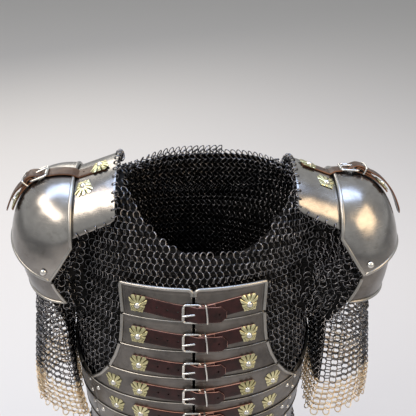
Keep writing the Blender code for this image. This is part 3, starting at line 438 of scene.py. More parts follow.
def sleeve_lines(side, columns):
    """Lines down the sleeve from the armhole to the hem."""
    armhole_y = (armhole_point(side, 0).y + armhole_point(side, 0.5).y) / 2
    side_angle = 0.0 if side > 0 else math.pi
    top = body_point(armhole_levels[1], side_angle)
    bottom = body_point(armhole_levels[0], side_angle)
    band = sleeve_hem + sleeve_band
    outer_drop = top.z - sleeve_hem
    inner_drop = bottom.z - sleeve_hem
    sections = list(sleeve_shares)
    sections.append((1.0, (top.z - band) / outer_drop, (bottom.z - band) / inner_drop, 1.0,
                     sleeve_band_square))
    sections.append((1.0, 1.0, 1.0, 1.0, sleeve_band_square))
    first_turn = math.pi * 1.25
    lines = [[armhole_point(side, column / columns)] for column in range(columns)]
    for out, outer_down, inner_down, deep, square in sections:
        outer = Vector((top.x + (side * sleeve_outer - top.x) * out, 0, top.z - outer_drop * outer_down))
        clear = sleeve_side_gap + sleeve_clearance * min(1.0, outer_down * len(sleeve_shares))
        height = bottom.z - inner_drop * inner_down
        inner = Vector((body_point(level_at(height), side_angle).x + side * clear, 0, height))
        middle = (outer + inner) / 2
        middle.y = armhole_y + (sleeve_middle - armhole_y) * outer_down
        half = (outer - inner) / 2
        for column in range(columns):
            angle = first_turn + 2 * math.pi * column / columns
            fore = squared(math.cos(angle), square)
            lean = -side * front_sweep[side] * outer_down * max(0.0, -fore) ** 2
            sweep = Vector((lean, sleeve_half_depth * deep * fore, 0))
            lines[column].append(middle + sweep + half * squared(math.sin(angle), square))
    return lines


def sleeve_ring_rows(side):
    """(row, pose) of the sleeve's rings, up from its hem. The knit is turned: its rows run down the arm,
    each a half ring lower or higher than the next. One count of rows serves the lower sleeve, and more are
    let in where it widens."""
    line_count = 96
    fewest = 4
    lines = [line[::-1] for line in sleeve_lines(side, line_count)]
    lengths = [path_length(line) for line in lines]
    half_pitch = sleeve_pitch / 2
    halves = int(max(lengths) / half_pitch)
    grid = []
    for line, length in zip(lines, lengths):
        distances = [(half + first_ring) * half_pitch for half in range(halves)
                     if (half + last_room) * half_pitch < length]
        grid.append([place for place, _ in along_path(line, distances)])
    found = []
    for half in range(halves):
        around = [index for index, line in enumerate(grid) if len(line) > half]
        if len(around) < fewest:
            break
        chain = [grid[index][half] for index in around]
        if len(around) == line_count:
            chain.append(chain[0])
        middle = sum(chain, Vector()) / len(chain)
        length = path_length(chain)
        count = straight_count if half < straight_halves else max(fewest, 2 * round(length / upper_spacing))
        distances = [ring * length / count for ring in range(half % 2, count, 2)]
        for surface, share in along_path(chain, distances):
            index = min(int(share), len(chain) - 2)
            if index + 1 < len(around) and around[index + 1] - around[index] > 1:
                continue
            line = grid[around[index % len(around)]]
            up = (line[min(half + 1, len(line) - 1)] - line[max(0, half - 1)]).normalized()
            out = (chain[index + 1] - chain[index]).cross(up).normalized()
            if out.dot(surface - middle) < 0:
                out = -out
            found.append((half // 2, ring_pose(surface, up.cross(out), out, half)))
    return found


def repeating_tree(name, inputs, shape, tone_seed):
    """A tree that puts one shape at every point of the mesh, turned as the point's turn attribute says,
    with a little play. Every copy gets a tone of its own, which its metal reads."""
    tree = bpy.data.node_groups.new(name, "GeometryNodeTree")
    for socket, kind in {"Geometry": "Geometry", **inputs, "Play": "Float", "Metal": "Material"}.items():
        tree.interface.new_socket(socket, in_out="INPUT", socket_type=f"NodeSocket{kind}")
    tree.interface.new_socket("Geometry", in_out="OUTPUT", socket_type="NodeSocketGeometry")
    given = add_node(tree, "NodeGroupInput").outputs
    turn = add_node(tree, "GeometryNodeInputNamedAttribute", {"Name": "turn"}, data_type="FLOAT_VECTOR")
    most = add_node(tree, "ShaderNodeVectorMath", {0: (1, 1, 1)}, {"Scale": given["Play"]},
                    operation="SCALE")
    least = add_node(tree, "ShaderNodeVectorMath", {"Scale": -1.0}, {0: most}, operation="SCALE")
    play = add_node(tree, "FunctionNodeRandomValue", {"Seed": 7}, {0: least, 1: most},
                    data_type="FLOAT_VECTOR")
    total = add_node(tree, "ShaderNodeVectorMath", links={0: turn, 1: play}, operation="ADD")
    rotation = add_node(tree, "FunctionNodeEulerToRotation", links={0: total})
    copies = add_node(tree, "GeometryNodeInstanceOnPoints",
                      links={"Points": given["Geometry"], "Rotation": rotation, **shape(tree, given)})
    tone = add_node(tree, "FunctionNodeRandomValue", {"Seed": tone_seed}, data_type="FLOAT")
    toned = add_node(tree, "GeometryNodeStoreNamedAttribute", {"Name": "tone"},
                     {"Geometry": copies, "Value": tone.outputs[1]},
                     data_type="FLOAT", domain="INSTANCE")
    real = add_node(tree, "GeometryNodeRealizeInstances", links={"Geometry": toned})
    metal = add_node(tree, "GeometryNodeSetMaterial",
                     links={"Geometry": real, "Material": given["Metal"]})
    add_node(tree, "NodeGroupOutput", links={0: metal})
    return tree


def ring_of_wire(tree, given):
    """A closed ring of round wire, coarse enough to be repeated thousands of times."""
    circle = add_node(tree, "GeometryNodeCurvePrimitiveCircle", {"Resolution": 12},
                      {"Radius": given["Ring radius"]})
    wire = add_node(tree, "GeometryNodeCurvePrimitiveCircle", {"Resolution": 4},
                    {"Radius": given["Wire radius"]})
    ring = add_node(tree, "GeometryNodeCurveToMesh", links={"Curve": circle, "Profile Curve": wire})
    smooth = add_node(tree, "GeometryNodeSetShadeSmooth", links={"Geometry": ring})
    return {"Instance": smooth}


def repeat(name, poses, tree, settings):
    """A plain mesh of what the tree puts at each pose."""
    mesh = bpy.data.meshes.new(name)
    mesh.from_pydata([centre for centre, _ in poses], [], [])
    turns = mesh.attributes.new("turn", "FLOAT_VECTOR", "POINT")
    for index, (_, turn) in enumerate(poses):
        turns.data[index].vector = turn
    item = place_in_scene(bpy.data.objects.new(name, mesh))
    step = item.modifiers.new("repeat", "NODES")
    step.node_group = tree
    for socket in tree.interface.items_tree:
        if socket.in_out == "INPUT" and socket.name in settings:
            step[socket.identifier] = settings[socket.name]
    return made_plain(item)


def made_plain(item):
    """The object with its modifiers worked into its mesh."""
    depsgraph = bpy.context.evaluated_depsgraph_get()
    mesh = bpy.data.meshes.new_from_object(item.evaluated_get(depsgraph))
    item.modifiers.clear()
    item.data = mesh
    mesh.name = item.name
    return item


def ring_metal(name, dark, light, roughness):
    """Drawn wire: every ring a little lighter or darker than the next, with a faint drawn grain. A Mix of
    colours reads sockets 0, 6 and 7, and a Map Range turns the range of 1 and 2 into that of 3 and 4."""
    made, tree, place = surface_finish(name)
    tone = add_node(tree, "ShaderNodeAttribute", attribute_name="tone")
    colour = add_node(tree, "ShaderNodeMix", {6: linear(dark), 7: linear(light)}, {0: tone.outputs["Fac"]},
                      data_type="RGBA")
    drawn_grain = 0.0009  # coarser than the real wire's, so that it shows
    grain = add_node(tree, "ShaderNodeTexNoise", {"Scale": 1 / drawn_grain, "Detail": 2.0},
                     {"Vector": place})
    gloss = add_node(tree, "ShaderNodeMapRange", {3: roughness - 0.08, 4: roughness + 0.12}, {0: grain})
    return finished(made, {"Base Color": colour.outputs[2], "Roughness": gloss}, {"Metallic": 1.0})


# Blackened steel wire: oiled black oxide, nearly black with small bright glints
black_wire = ring_metal("blackened_steel_wire", "#39393b", "#88888c", roughness=0.22)
# Brass wire: pale and slightly rosy where it is worn
brass_wire = ring_metal("brass_wire", "#c0a888", "#eadcc4", roughness=0.30)

knit = repeating_tree("knit_rings", {"Ring radius": "Float", "Wire radius": "Float"}, ring_of_wire, 11)
ring_sizes = {"Ring radius": (ring_outside - ring_wire) / 2, "Wire radius": ring_wire / 2, "Play": 0.07}
most_rings = 1900


def knit_piece(name, poses, metal, node):
    """One piece of mail, or several where it has more rings than a piece may hold."""
    pieces = math.ceil(len(poses) / most_rings)
    for part in range(pieces):
        share = poses[len(poses) * part // pieces:len(poses) * (part + 1) // pieces]
        label = name if pieces == 1 else f"{name}_{part + 1}"
        piece = repeat(label, share, knit, dict(ring_sizes, Metal=metal))
        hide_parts(node)
        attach(piece, "armour")


body_rings = body_ring_rows()
yoke_rings = yoke_ring_rows()
first_black_row = min(row for row, _, _ in body_rings) + brass_rows
shirt_rings = {
    "mail_skirt": [pose for row, height, pose in body_rings
                   if row >= first_black_row and height < cuirass_foot],
    "mail_hem": [pose for row, _, pose in body_rings if row < first_black_row],
    "mail_flanks": [pose for _, height, pose in body_rings if height >= cuirass_foot],
    "mail_chest_yoke": [pose for _, behind, pose in yoke_rings if behind < 0],
    "mail_back_yoke": [pose for _, behind, pose in yoke_rings if behind >= 0],
    "mail_inside_back": [pose for _, _, pose in body_ring_rows(inside=True)],
    "mail_inside_yoke": [pose for _, behind, pose in yoke_ring_rows(inner_ring_depth) if behind >= 0],
}
for name, poses in shirt_rings.items():
    knit_piece(name, poses, brass_wire if name == "mail_hem" else black_wire, "mail_shirt")
for side_name, side in sides.items():
    sleeve_rings = sleeve_ring_rows(side)
    node = f"mail_sleeve_{side_name}"
    black = [pose for row, pose in sleeve_rings if row >= brass_sleeve_rows]
    brass = [pose for row, pose in sleeve_rings if row < brass_sleeve_rows]
    knit_piece(f"{node}_rings", black, black_wire, node)
    knit_piece(f"{node}_hem", brass, brass_wire, node)


def band_faces(rows, columns, closed=True, skip=None):
    """Faces between rows of points; closed joins the last column to the first, skip leaves out cells."""
    faces = []
    for row in range(rows - 1):
        here, above = row * columns, (row + 1) * columns
        for column in range(columns if closed else columns - 1):
            after = (column + 1) % columns
            if not (skip and skip(row, column)):
                faces.append([here + column, here + after, above + after, above + column])
    return faces


def capped_faces(rows, columns):
    """Faces of a closed band with a cap on each end."""
    last = (rows - 1) * columns
    return band_faces(rows, columns) + [list(range(columns))[::-1], list(range(last, last + columns))]


def grid_piece(name, rows, closed=False, skip=None, flip=False):
    """Open surface through rows of points."""
    faces = band_faces(len(rows), len(rows[0]), closed, skip)
    if flip:
        faces = [face[::-1] for face in faces]
    mesh = bpy.data.meshes.new(name)
    mesh.from_pydata([point for row in rows for point in row], [], faces)
    builder = bmesh.new()
    builder.from_mesh(mesh)
    unused = [vertex for vertex in builder.verts if not vertex.link_faces]
    bmesh.ops.delete(builder, geom=unused, context="VERTS")
    builder.to_mesh(mesh)
    builder.free()
    return place_in_scene(bpy.data.objects.new(name, mesh))


def thicken(item, thickness, offset, bevel=0.0, segments=2, even=True, sharp_from=40.0):
    """Give a sheet its wall and its broken edges, and work both into the mesh."""
    wall = item.modifiers.new("wall", "SOLIDIFY")
    wall.thickness = thickness
    wall.offset = offset
    wall.use_even_offset = even
    wall.material_offset_rim = 1 if len(item.data.materials) > 1 else 0
    if bevel:
        edge = item.modifiers.new("edge", "BEVEL")
        edge.width = bevel
        edge.segments = segments
        edge.limit_method = "ANGLE"
        edge.angle_limit = math.radians(50.0)
    return smoothed(made_plain(item), sharp_from)


def smoothed(item, sharp_from=40.0):
    item.data.polygons.foreach_set("use_smooth", [True] * len(item.data.polygons))
    item.data.set_sharp_from_angle(angle=math.radians(sharp_from))
    return item


# A near-black sheet just inside the rings: it stands for the black form, and is painted shade that darkens
# the gaps between the rings
inner_depth = 0.0062
painted_shade_wall = 0.0008
inner_turns = 72
turn_angles = [front + 2 * math.pi * step / inner_turns for step in range(inner_turns)]
inner_levels = [0.06] + [half / 2 for half in range(1, 2 * neck_level)] + [neck_level - 0.15]
inner_rows = [[body_point(level, angle) - body_normal(level, angle) * inner_depth for angle in turn_angles]
              for level in inner_levels]


def open_for_arm(row, column):
    middle_level = (inner_levels[row] + inner_levels[row + 1]) / 2
    return in_armhole(middle_level, turn_angles[column] + math.pi / inner_turns)


mail_inner_face = grid_piece("mail_inner_face", inner_rows, closed=True, skip=open_for_arm)
thicken(mail_inner_face, painted_shade_wall, -1.0)
# Near-black sheet inside the rings: the black form and painted shade, faintly lighter in a ring pattern,
# with the rings' bumps
inner_knit, inner_tree, inner_place = surface_finish("inner_knit")
ring_cells = add_node(inner_tree, "ShaderNodeTexVoronoi", {"Scale": 1 / ring_outside, "Randomness": 0.35},
                      {"Vector": inner_place}, feature="DISTANCE_TO_EDGE")
cell_wire = add_node(inner_tree, "ShaderNodeMapRange", {1: 0.02, 2: 0.14, 3: 1.0, 4: 0.0},
                     {0: ring_cells})
painted_shade_colour = add_node(inner_tree, "ShaderNodeMix", {6: linear("#040404"), 7: linear("#131315")},
                        {0: cell_wire}, data_type="RGBA")
inner_bump = add_node(inner_tree, "ShaderNodeBump", {"Strength": 0.8, "Distance": 0.001},
                      {"Height": cell_wire})
finished(inner_knit, {"Base Color": painted_shade_colour.outputs[2], "Normal": inner_bump},
         {"Roughness": 0.6, "Specular IOR Level": 0.15})
mail_inner_face.data.materials.append(inner_knit)
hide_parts("mail_shirt")
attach(mail_inner_face, "armour")

# The upper sleeves, and below them the strip that lies against the body, get the same near-black sheet:
# painted shade, so that the empty sleeves and armpits are dark
lining_columns = 48
open_columns = range(15, 45)
upper_sections = 4
upper_inset, lower_inset = 0.12, 0.16  # shares of the way from the sleeve to its middle
run_into_body = 0.008


def away_from_body(row, column):
    """True below the upper sleeve, but for the strip that lies against the body."""
    return row >= upper_sections and column in open_columns


for side_name, side in sides.items():
    rings = list(zip(*sleeve_lines(side, lining_columns)))
    lining_rows = [[point - Vector((side * run_into_body, 0, 0)) for point in rings[0]]]
    for section, ring in enumerate(rings[:-1]):
        middle = sum(ring, Vector()) / len(ring)
        inset = upper_inset if section < upper_sections else lower_inset
        lining_rows.append([point.lerp(middle, inset) for point in ring])
    lining = grid_piece(f"mail_sleeve_{side_name}_inner_face", lining_rows, closed=True, flip=side < 0,
                        skip=away_from_body)
    thicken(lining, painted_shade_wall, 0.0).data.materials.append(inner_knit)
    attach(lining, "armour")


# Cuirass lames
# Seven rows of satin mild steel strips over the chest, split at the centre. Each top edge lies over the
# foot of the strip above, with a pressed step under it. The top strip and the armhole have rolled edges.
lame_thickness = 0.0012
lame_bevel = 0.0005
lame_gap = 0.0004
lame_lift = 0.0007
overlap = 0.009 / pitch
split = 0.004
rim_radius = 0.0022
rim_seat = rim_radius * 0.7
front_bead = 1.25  # the front's rolled edges are drawn this much thicker than the solids'
groove_depth = 0.0005
groove_from, groove_to = 0.004, 0.006
armhole_rows = 4
corner_round = 0.006
step_width = 0.0060
step_height = 0.0006
front_columns = 22
crowding = 1.5  # columns stand closer beside the split


def lame_offset(row, level):
    """How far the inside of a lame stands off the mail: its top leans out over the lame above."""
    bottom = top_line - row - 1 - overlap
    top = top_line - row
    lean = (lame_thickness + lame_gap) * (1 + overlap)
    return lame_lift + lean * (level - bottom) / (top - bottom)


def lame_point(row, level, angle, extra=0.0):
    return body_point(level, angle) + body_normal(level, angle) * (lame_offset(row, level) + extra)


def wire_mesh(points, radius, closed=False, around=10):
    """Vertices and faces of a round wire through the points."""
    count = len(points)
    rings = []
    cross = None
    for index, point in enumerate(points):
        before = points[index - 1] if closed or index else point
        after = points[(index + 1) % count] if closed or index < count - 1 else point
        way = (after - before).normalized()
        if cross is None:
            cross = way.orthogonal()
        cross = (cross - way * cross.dot(way)).normalized()
        other = way.cross(cross)
        rings.append([point + (cross * math.cos(turn) + other * math.sin(turn)) * radius
                      for turn in (2 * math.pi * step / around for step in range(around))])
    vertices = [vertex for ring in rings for vertex in ring]
    if not closed:
        return vertices, capped_faces(count, around)
    slip = min(range(around), key=lambda shift: (rings[0][shift] - rings[-1][0]).length)
    last = (count - 1) * around
    faces = band_faces(count, around)
    faces += [[last + step, last + (step + 1) % around, (step + 1 + slip) % around, (step + slip) % around]
              for step in range(around)]
    return vertices, faces


def join_meshes(name, parts):
    """One object from several lists of vertices and faces."""
    vertices = []
    faces = []
    for part_vertices, part_faces in parts:
        base = len(vertices)
        vertices += [Vector(vertex) for vertex in part_vertices]
        faces += [[base + corner for corner in face] for face in part_faces]
    mesh = bpy.data.meshes.new(name)
    mesh.from_pydata(vertices, [], faces)
    return smoothed(place_in_scene(bpy.data.objects.new(name, mesh)))


def round_line(points, radius, steps=5):
    """A broken line with its corners rounded."""
    line = [points[0]]
    for before, corner, after in zip(points, points[1:], points[2:]):
        first = corner + (before - corner).normalized() * min(radius, (before - corner).length / 2)
        last = corner + (after - corner).normalized() * min(radius, (after - corner).length / 2)
        for step in range(steps + 1):
            share = step / steps
            line.append(first.lerp(corner, share).lerp(corner.lerp(last, share), share))
    return line + [points[-1]]


def worked_steel(name, dark, light, stain, roughness, dents, dent_strength):
    """Ground steel sheet: clouds of tone, fine grinding marks in the gloss, soft dents from the hammer."""
    made, tree, place = surface_finish(name)
    cloud_size, spot_size = 0.05, 0.012
    # Real grinding marks are finer; these are drawn as coarse as they need to be to show
    mark_length, mark_width = 0.020, 0.0007
    clouds = add_node(tree, "ShaderNodeTexNoise",
                      {"Scale": 1 / cloud_size, "Detail": 6.0, "Roughness": 0.62}, {"Vector": place})
    tone = add_node(tree, "ShaderNodeMapRange", {1: 0.32, 2: 0.68}, {0: clouds})
    colour = add_node(tree, "ShaderNodeMix", {6: linear(dark), 7: linear(light)}, {0: tone},
                      data_type="RGBA")
    spots = add_node(tree, "ShaderNodeTexNoise",
                     {"Scale": 1 / spot_size, "Detail": 8.0, "Roughness": 0.7}, {"Vector": place})
    spotted = add_node(tree, "ShaderNodeMapRange", {1: 0.56, 2: 0.74, 4: 0.55}, {0: spots})
    stained = add_node(tree, "ShaderNodeMix", {7: linear(stain)},
                       {0: spotted, 6: colour.outputs[2]}, data_type="RGBA")
    stretched = add_node(tree, "ShaderNodeMapping",
                         {"Scale": (1 / mark_length, 1 / mark_length, 1 / mark_width)}, {"Vector": place})
    marks = add_node(tree, "ShaderNodeTexNoise", {"Scale": 1.0, "Detail": 3.0}, {"Vector": stretched})
    gloss = add_node(tree, "ShaderNodeMapRange", {3: roughness - 0.07, 4: roughness + 0.11}, {0: marks})
    dented = add_node(tree, "ShaderNodeTexNoise", {"Scale": 1 / dents, "Detail": 1.0}, {"Vector": place})
    scored = add_node(tree, "ShaderNodeBump", {"Strength": 0.06, "Distance": 0.0004}, {"Height": marks})
    hammered = add_node(tree, "ShaderNodeBump", {"Strength": dent_strength, "Distance": 0.002},
                        {"Height": dented, "Normal": scored})
    return finished(made, {"Base Color": stained.outputs[2], "Roughness": gloss,
                           "Normal": hammered}, {"Metallic": 1.0})


# Satin dark steel: ground mild steel, oil-darkened to a warm grey with a soft sheen
satin_steel = worked_steel("satin_ground_steel", "#545251", "#7d7a77", "#403d3a",
                           roughness=0.36, dents=0.03, dent_strength=0.16)
# Rolled edges, rims and edge lines: a lighter copy of the same steel, a painted highlight where they catch
# the light
rim_highlight_steel = worked_steel("rubbed_rim_steel", "#8e8d8a", "#acaba8", "#6c6a66",
                         roughness=0.32, dents=0.01, dent_strength=0.10)
# The cut edges of each strip: a much lighter copy of the same steel, a painted highlight where the edges
# catch the light
edge_highlight_steel = worked_steel("rubbed_edge_steel", "#cfcecb", "#eae9e6", "#a6a39e",
                          roughness=0.58, dents=0.01, dent_strength=0.10)


def corner_cut(reach, radius):
    """How far a rounded corner falls back at a distance from the side."""
    inside = max(0.0, radius - reach)
    return radius - math.sqrt(radius ** 2 - inside ** 2)


def lame_sheet(row, side, name):
    """The strip itself as a sheet, its top inner corner rounded."""
    bottom = top_line - row - 1 - overlap
    top = top_line - row
    step_foot, step_head, brow = step_width + 0.0012, step_width - 0.0009, 0.0022
    # Levels up the strip, each with its share of the step's height
    heights = ((bottom, 0), (bottom + overlap, 0), (bottom + overlap * 1.6, 0), (top - 0.6, 0),
               (top - 0.4, 0), (top - step_foot / pitch, 0), (top - step_width / pitch, 0.4),
               (top - step_head / pitch, 1), (top - brow / pitch, 1), (top, 0.8))
    edge_columns = (0.0105, 0.0062, 0.0052, 0.0042, 0.0032, 0.0)  # in from the outer edge
    grid = []
    for height, lift_share in heights:
        line = []
        width = edge_distance(height) - split / 2
        reaches = [(width - edge_columns[0]) * (column / front_columns) ** crowding
                   for column in range(front_columns)]
        reaches += [width - place for place in edge_columns]
        for reach in reaches:
            cut = corner_cut(reach, corner_round) / pitch
            level = bottom + (height - bottom) * (1 - cut / (top - bottom))
            grooved = row < armhole_rows and groove_from < width - reach < groove_to
            lift = step_height * lift_share - (groove_depth if grooved else 0.0)
            line.append(lame_point(row, level, front_angle(level, side * (split / 2 + reach)), lift))
        grid.append(line)
    sheet = grid_piece(name, grid, flip=side < 0)
    sheet.data.materials.append(satin_steel)
    # The strip's cut edges get the lighter edge steel: a painted highlight
    sheet.data.materials.append(edge_highlight_steel)
    return thicken(sheet, lame_thickness, 1.0, lame_bevel)


def rim_line(row, side):
    """Rolled edge: along the top of the first row, and down the armhole edge of the first four."""
    bottom = top_line - row - 1 - overlap
    top = top_line - row
    corner, bend = 0.004, 0.003
    top_steps, side_steps = 24, 8
    line = []
    if row == 0:
        for share in (1.35, 0.90, 0.45):
            level = top - corner_round * share / pitch
            line.append(lame_point(0, level, front_angle(level, side * split / 2), rim_radius * 0.6))
        first = split / 2 + corner
        for step in range(top_steps + 1):
            distance = first + (edge_distance(top) - first) * step / top_steps
            line.append(lame_point(0, top, front_angle(top, side * distance), rim_seat))
    last = bottom + overlap + (rim_radius + lame_gap) / pitch
    start = top - (corner / pitch if row == 0 else 0)
    for step in range(side_steps + 1):
        level = start + (last - start) * step / side_steps
        line.append(lame_point(row, level, front_angle(level, side * edge_distance(level)), rim_seat))
    return round_line(line, bend, 2)


for row in range(rows_of_lames):
    for side_name, side in sides.items():
        node = f"row_{row + 1}_lame_{side_name}"
        strip = lame_sheet(row, side, f"row_{row + 1}_strip_{side_name}")
        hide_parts(node)
        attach(strip, "armour")
        if row < armhole_rows:
            rolled = join_meshes(f"row_{row + 1}_rolled_edge_{side_name}",
                                 [wire_mesh(rim_line(row, side), rim_radius * front_bead)])
            # Rolled edge in the lighter rim steel: a painted highlight
            rolled.data.materials.append(rim_highlight_steel)
            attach(rolled, "armour")


# Thin bead along each top edge in the lighter rim steel: a painted highlight where the upward edge catches
# the light
bright_edge_lift = 0.0008
bright_edge_radius = 0.00055
bright_edge_ends = (0.0005, 0.0010)
bright_edge_steps = 40


def top_edge(row, side):
    """Line along a strip's top edge, with its rounded corner at the split."""
    top = top_line - row
    width = edge_distance(top) - split / 2
    line = []
    for step in range(bright_edge_steps + 1):
        share = (step / bright_edge_steps) ** crowding
        reach = bright_edge_ends[0] + (width - bright_edge_ends[1]) * share
        level = top - corner_cut(reach, corner_round) / pitch
        line.append(lame_point(row, level, front_angle(level, side * (split / 2 + reach)), bright_edge_lift))
    return line


for side_name, side in sides.items():
    bright = join_meshes(f"lames_rubbed_top_edges_{side_name}",
                         [wire_mesh(top_edge(row, side), bright_edge_radius, around=6)
                          for row in range(1, rows_of_lames)])
    bright.data.materials.append(rim_highlight_steel)
    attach(bright, "armour")


# Back of the cuirass
# The back is closed: seven strips of the same steel lapped as in front, riveted at the sides, with a
# rolled edge round the arms. Only its side edges show from the front.
side_gap = 0.002
back_steps, back_columns = 8, 64
back_rim_rows, back_rim_steps = 3.75, 32
back_bevel = 0.00035
back_swell = 0.0006
step_slope = 0.001


def back_start(level):
    """Angle where the back's strips begin beside the front ones."""
    reach = edge_distance(min(level, top_line - armhole_rows))
    return front_angle(level, reach) + side_gap / section_at(level)[1]


def back_edge_angle(level):
    """Angle of the back's free edge on the right, following the armhole above the fourth row."""
    height = cuirass_top + (level - top_line) * pitch
    start = back_start(level)
    depth = back_edge_depth(height)
    if depth == all_behind:
        return start
    section = section_at(level)
    reach = section[2] if depth < 0 else section[3]
    turn = math.asin(math.copysign(min(1.0, abs(depth) / reach) ** (section[4] / 2.0), depth))
    return max(start, turn)


def shell_point(level, angle, extra=0.0):
    return body_point(level, angle) + body_normal(level, angle) * (lame_lift + extra)


for row in range(rows_of_lames):
    low = top_line - row - 1 - (overlap if row == rows_of_lames - 1 else 0.0)
    high = top_line - row
    grid = []
    for step in range(back_steps + 1):
        level = low + (high - low) * step / back_steps
        from_top = (high - level) * pitch
        stepped = min(1.0, max(0.0, (step_width - from_top) / step_slope))
        lift = step_height * stepped + back_swell * step / back_steps
        first = back_edge_angle(level)
        last = math.pi - first
        grid.append([shell_point(level, first + (last - first) * column / back_columns, lift)
                     for column in range(back_columns + 1)])
    strip = thicken(grid_piece(f"row_{row + 1}_back_strip", grid), lame_thickness, 1.0, back_bevel)
    strip.data.materials.append(satin_steel)
    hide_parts("back_plate")
    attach(strip, "armour")
for side_name, side in sides.items():
    line = []
    for step in range(back_rim_steps + 1):
        level = top_line - back_rim_rows * (back_rim_steps - step) / back_rim_steps
        angle = back_edge_angle(level)
        line.append(shell_point(level, angle if side > 0 else math.pi - angle, rim_radius))
    rolled = join_meshes(f"back_rolled_edge_{side_name}", [wire_mesh(line, rim_radius)])
    # Rolled edge in the lighter rim steel: a painted highlight
    rolled.data.materials.append(rim_highlight_steel)
    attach(rolled, "armour")


# Straps of the cuirass
# Each row closes with two straps of dyed hide, one on each half, under square brass mounts held by a
# domed rivet. The punched strap runs through the buckle and its pointed end goes under a bent wire keeper.
strap_width = 0.020
strap_thickness = 0.0018
strap_bevel = 0.0003
strap_gap = 0.0004
strap_rise = 0.018
mount_side = 0.026
mount_spacing = 0.072
pivot_offset = 0.009
frame_length = 0.023
frame_width = 0.0275
frame_wire = 0.003
fold_length = 0.018
tail_length = 0.033
tip_length, tip_width = 0.007, 0.42  # of the cut end: its length, and its end's share of the width
hole_radius, hole_spacing = 0.0014, 0.0135
first_droop, droop = 0.0075, 0.0052
keeper_place = 0.0060
keeper_wire = 0.0023
keeper_corner = 0.0015
first_layer = strap_gap + strap_thickness / 2
layer = strap_gap + strap_thickness
eye_radius = frame_wire / 2 + strap_gap + strap_thickness / 2
bar_height = first_layer + eye_radius
over_eye = bar_height + eye_radius + layer * 1.15


def hide_finish(name, dark, light):
    """Dyed leather: a fine pebbled grain, creases across it, and dye that has rubbed thin in clouds."""
    made, tree, place = surface_finish(name)
    cloud_size, pebble_size, crease_size = 0.012, 0.0011, 0.004
    clouds = add_node(tree, "ShaderNodeTexNoise", {"Scale": 1 / cloud_size, "Detail": 5.0, "Roughness": 0.6},
                      {"Vector": place})
    worn = add_node(tree, "ShaderNodeMapRange", {1: 0.35, 2: 0.72}, {0: clouds})
    colour = add_node(tree, "ShaderNodeMix", {6: linear(dark), 7: linear(light)}, {0: worn},
                      data_type="RGBA")
    pebbles = add_node(tree, "ShaderNodeTexVoronoi", {"Scale": 1 / pebble_size}, {"Vector": place})
    creases = add_node(tree, "ShaderNodeTexNoise",
                       {"Scale": 1 / crease_size, "Detail": 4.0, "Distortion": 1.5}, {"Vector": place})
    grain = add_node(tree, "ShaderNodeBump", {"Strength": 0.35, "Distance": 0.0003},
                     {"Height": pebbles.outputs["Distance"]})
    creased = add_node(tree, "ShaderNodeBump", {"Strength": 0.30, "Distance": 0.0008},
                       {"Height": creases, "Normal": grain})
    gloss = add_node(tree, "ShaderNodeMapRange", {3: 0.26, 4: 0.46}, {0: creases})
    return finished(made, {"Base Color": colour.outputs[2], "Roughness": gloss,
                           "Normal": creased}, {"Specular IOR Level": 0.28})


# Dark red-brown hide of the cuirass straps, and the paler cut edge that shows its undyed middle
red_hide = hide_finish("red_brown_hide", "#1c0c0d", "#371a1c")
cut_edge = hide_finish("cut_hide_edge", "#b88579", "#dcb3a6")


def seat_axes(bed, along, off=0.0):
    """A place on a strap's bed, with its directions along, across and off."""
    step = 0.003
    here = bed(along, 0, off)
    way = (bed(along + step, 0, off) - bed(along - step, 0, off)).normalized()
    cross = (bed(along, step, off) - bed(along, -step, off)).normalized()
    normal = way.cross(cross)
    if normal.dot(bed(along, 0, off + step) - here) < 0:
        normal = -normal
    cross = normal.cross(way)
    return here, way, cross, normal.normalized()


def smooth_path(stations, per_span=4):
    """Places along and off the bed on a smooth line through the stations."""
    ends = [stations[0]] + list(stations) + [stations[-1]]
    path = []
    for spans in zip(ends, ends[1:], ends[2:], ends[3:]):
        for step in range(per_span):
            share = step / per_span
            weights = (-0.5 * share + share ** 2 - 0.5 * share ** 3, 1 - 2.5 * share ** 2 + 1.5 * share ** 3,
                       0.5 * share + 2 * share ** 2 - 1.5 * share ** 3, -0.5 * share ** 2 + 0.5 * share ** 3)
            path.append(tuple(sum(weight * station[axis] for weight, station in zip(weights, spans))
                              for axis in (0, 1)))
    return path + [tuple(stations[-1])]


def strap_sheet(name, bed, path, width, point=0.0, drift=None, side=1):
    """A strap along a path, crowned over its width; it may end in a point and drift across its bed."""
    lengths = [0.0]
    for (along, off), (along_after, off_after) in zip(path, path[1:]):
        lengths.append(lengths[-1] + math.hypot(along_after - along, off_after - off))
    if point:
        for length in (lengths[-1] - point, lengths[-1] - point / 2):
            index = next(place for place, reached in enumerate(lengths) if reached >= length)
            share = (length - lengths[index - 1]) / max(1e-9, lengths[index] - lengths[index - 1])
            path.insert(index, tuple(before + (after - before) * share
                                     for before, after in zip(path[index - 1], path[index])))
            lengths.insert(index, length)
    crown = ((-1.0, 0.55), (-0.82, 0.15), (-0.4, 0.0), (0.0, 0.0), (0.4, 0.0), (0.82, 0.15), (1.0, 0.55))
    edge_drop = 0.00045
    drift_from = 0.3
    grid = []
    for (along, off), length in zip(path, lengths):
        narrow = tip_width + (1 - tip_width) * min(1.0, (lengths[-1] - length) / point) if point else 1.0
        hang = drift(along) if drift and length > lengths[-1] * drift_from else 0.0
        grid.append([bed(along, across * width / 2 * narrow + hang, off - drop * edge_drop)
                     for across, drop in crown])
    sheet = grid_piece(name, grid, flip=side < 0)
    sheet.data.materials.append(red_hide)
    sheet.data.materials.append(cut_edge)
    return thicken(sheet, strap_thickness, 0.0, strap_bevel, segments=1, even=False, sharp_from=50.0)


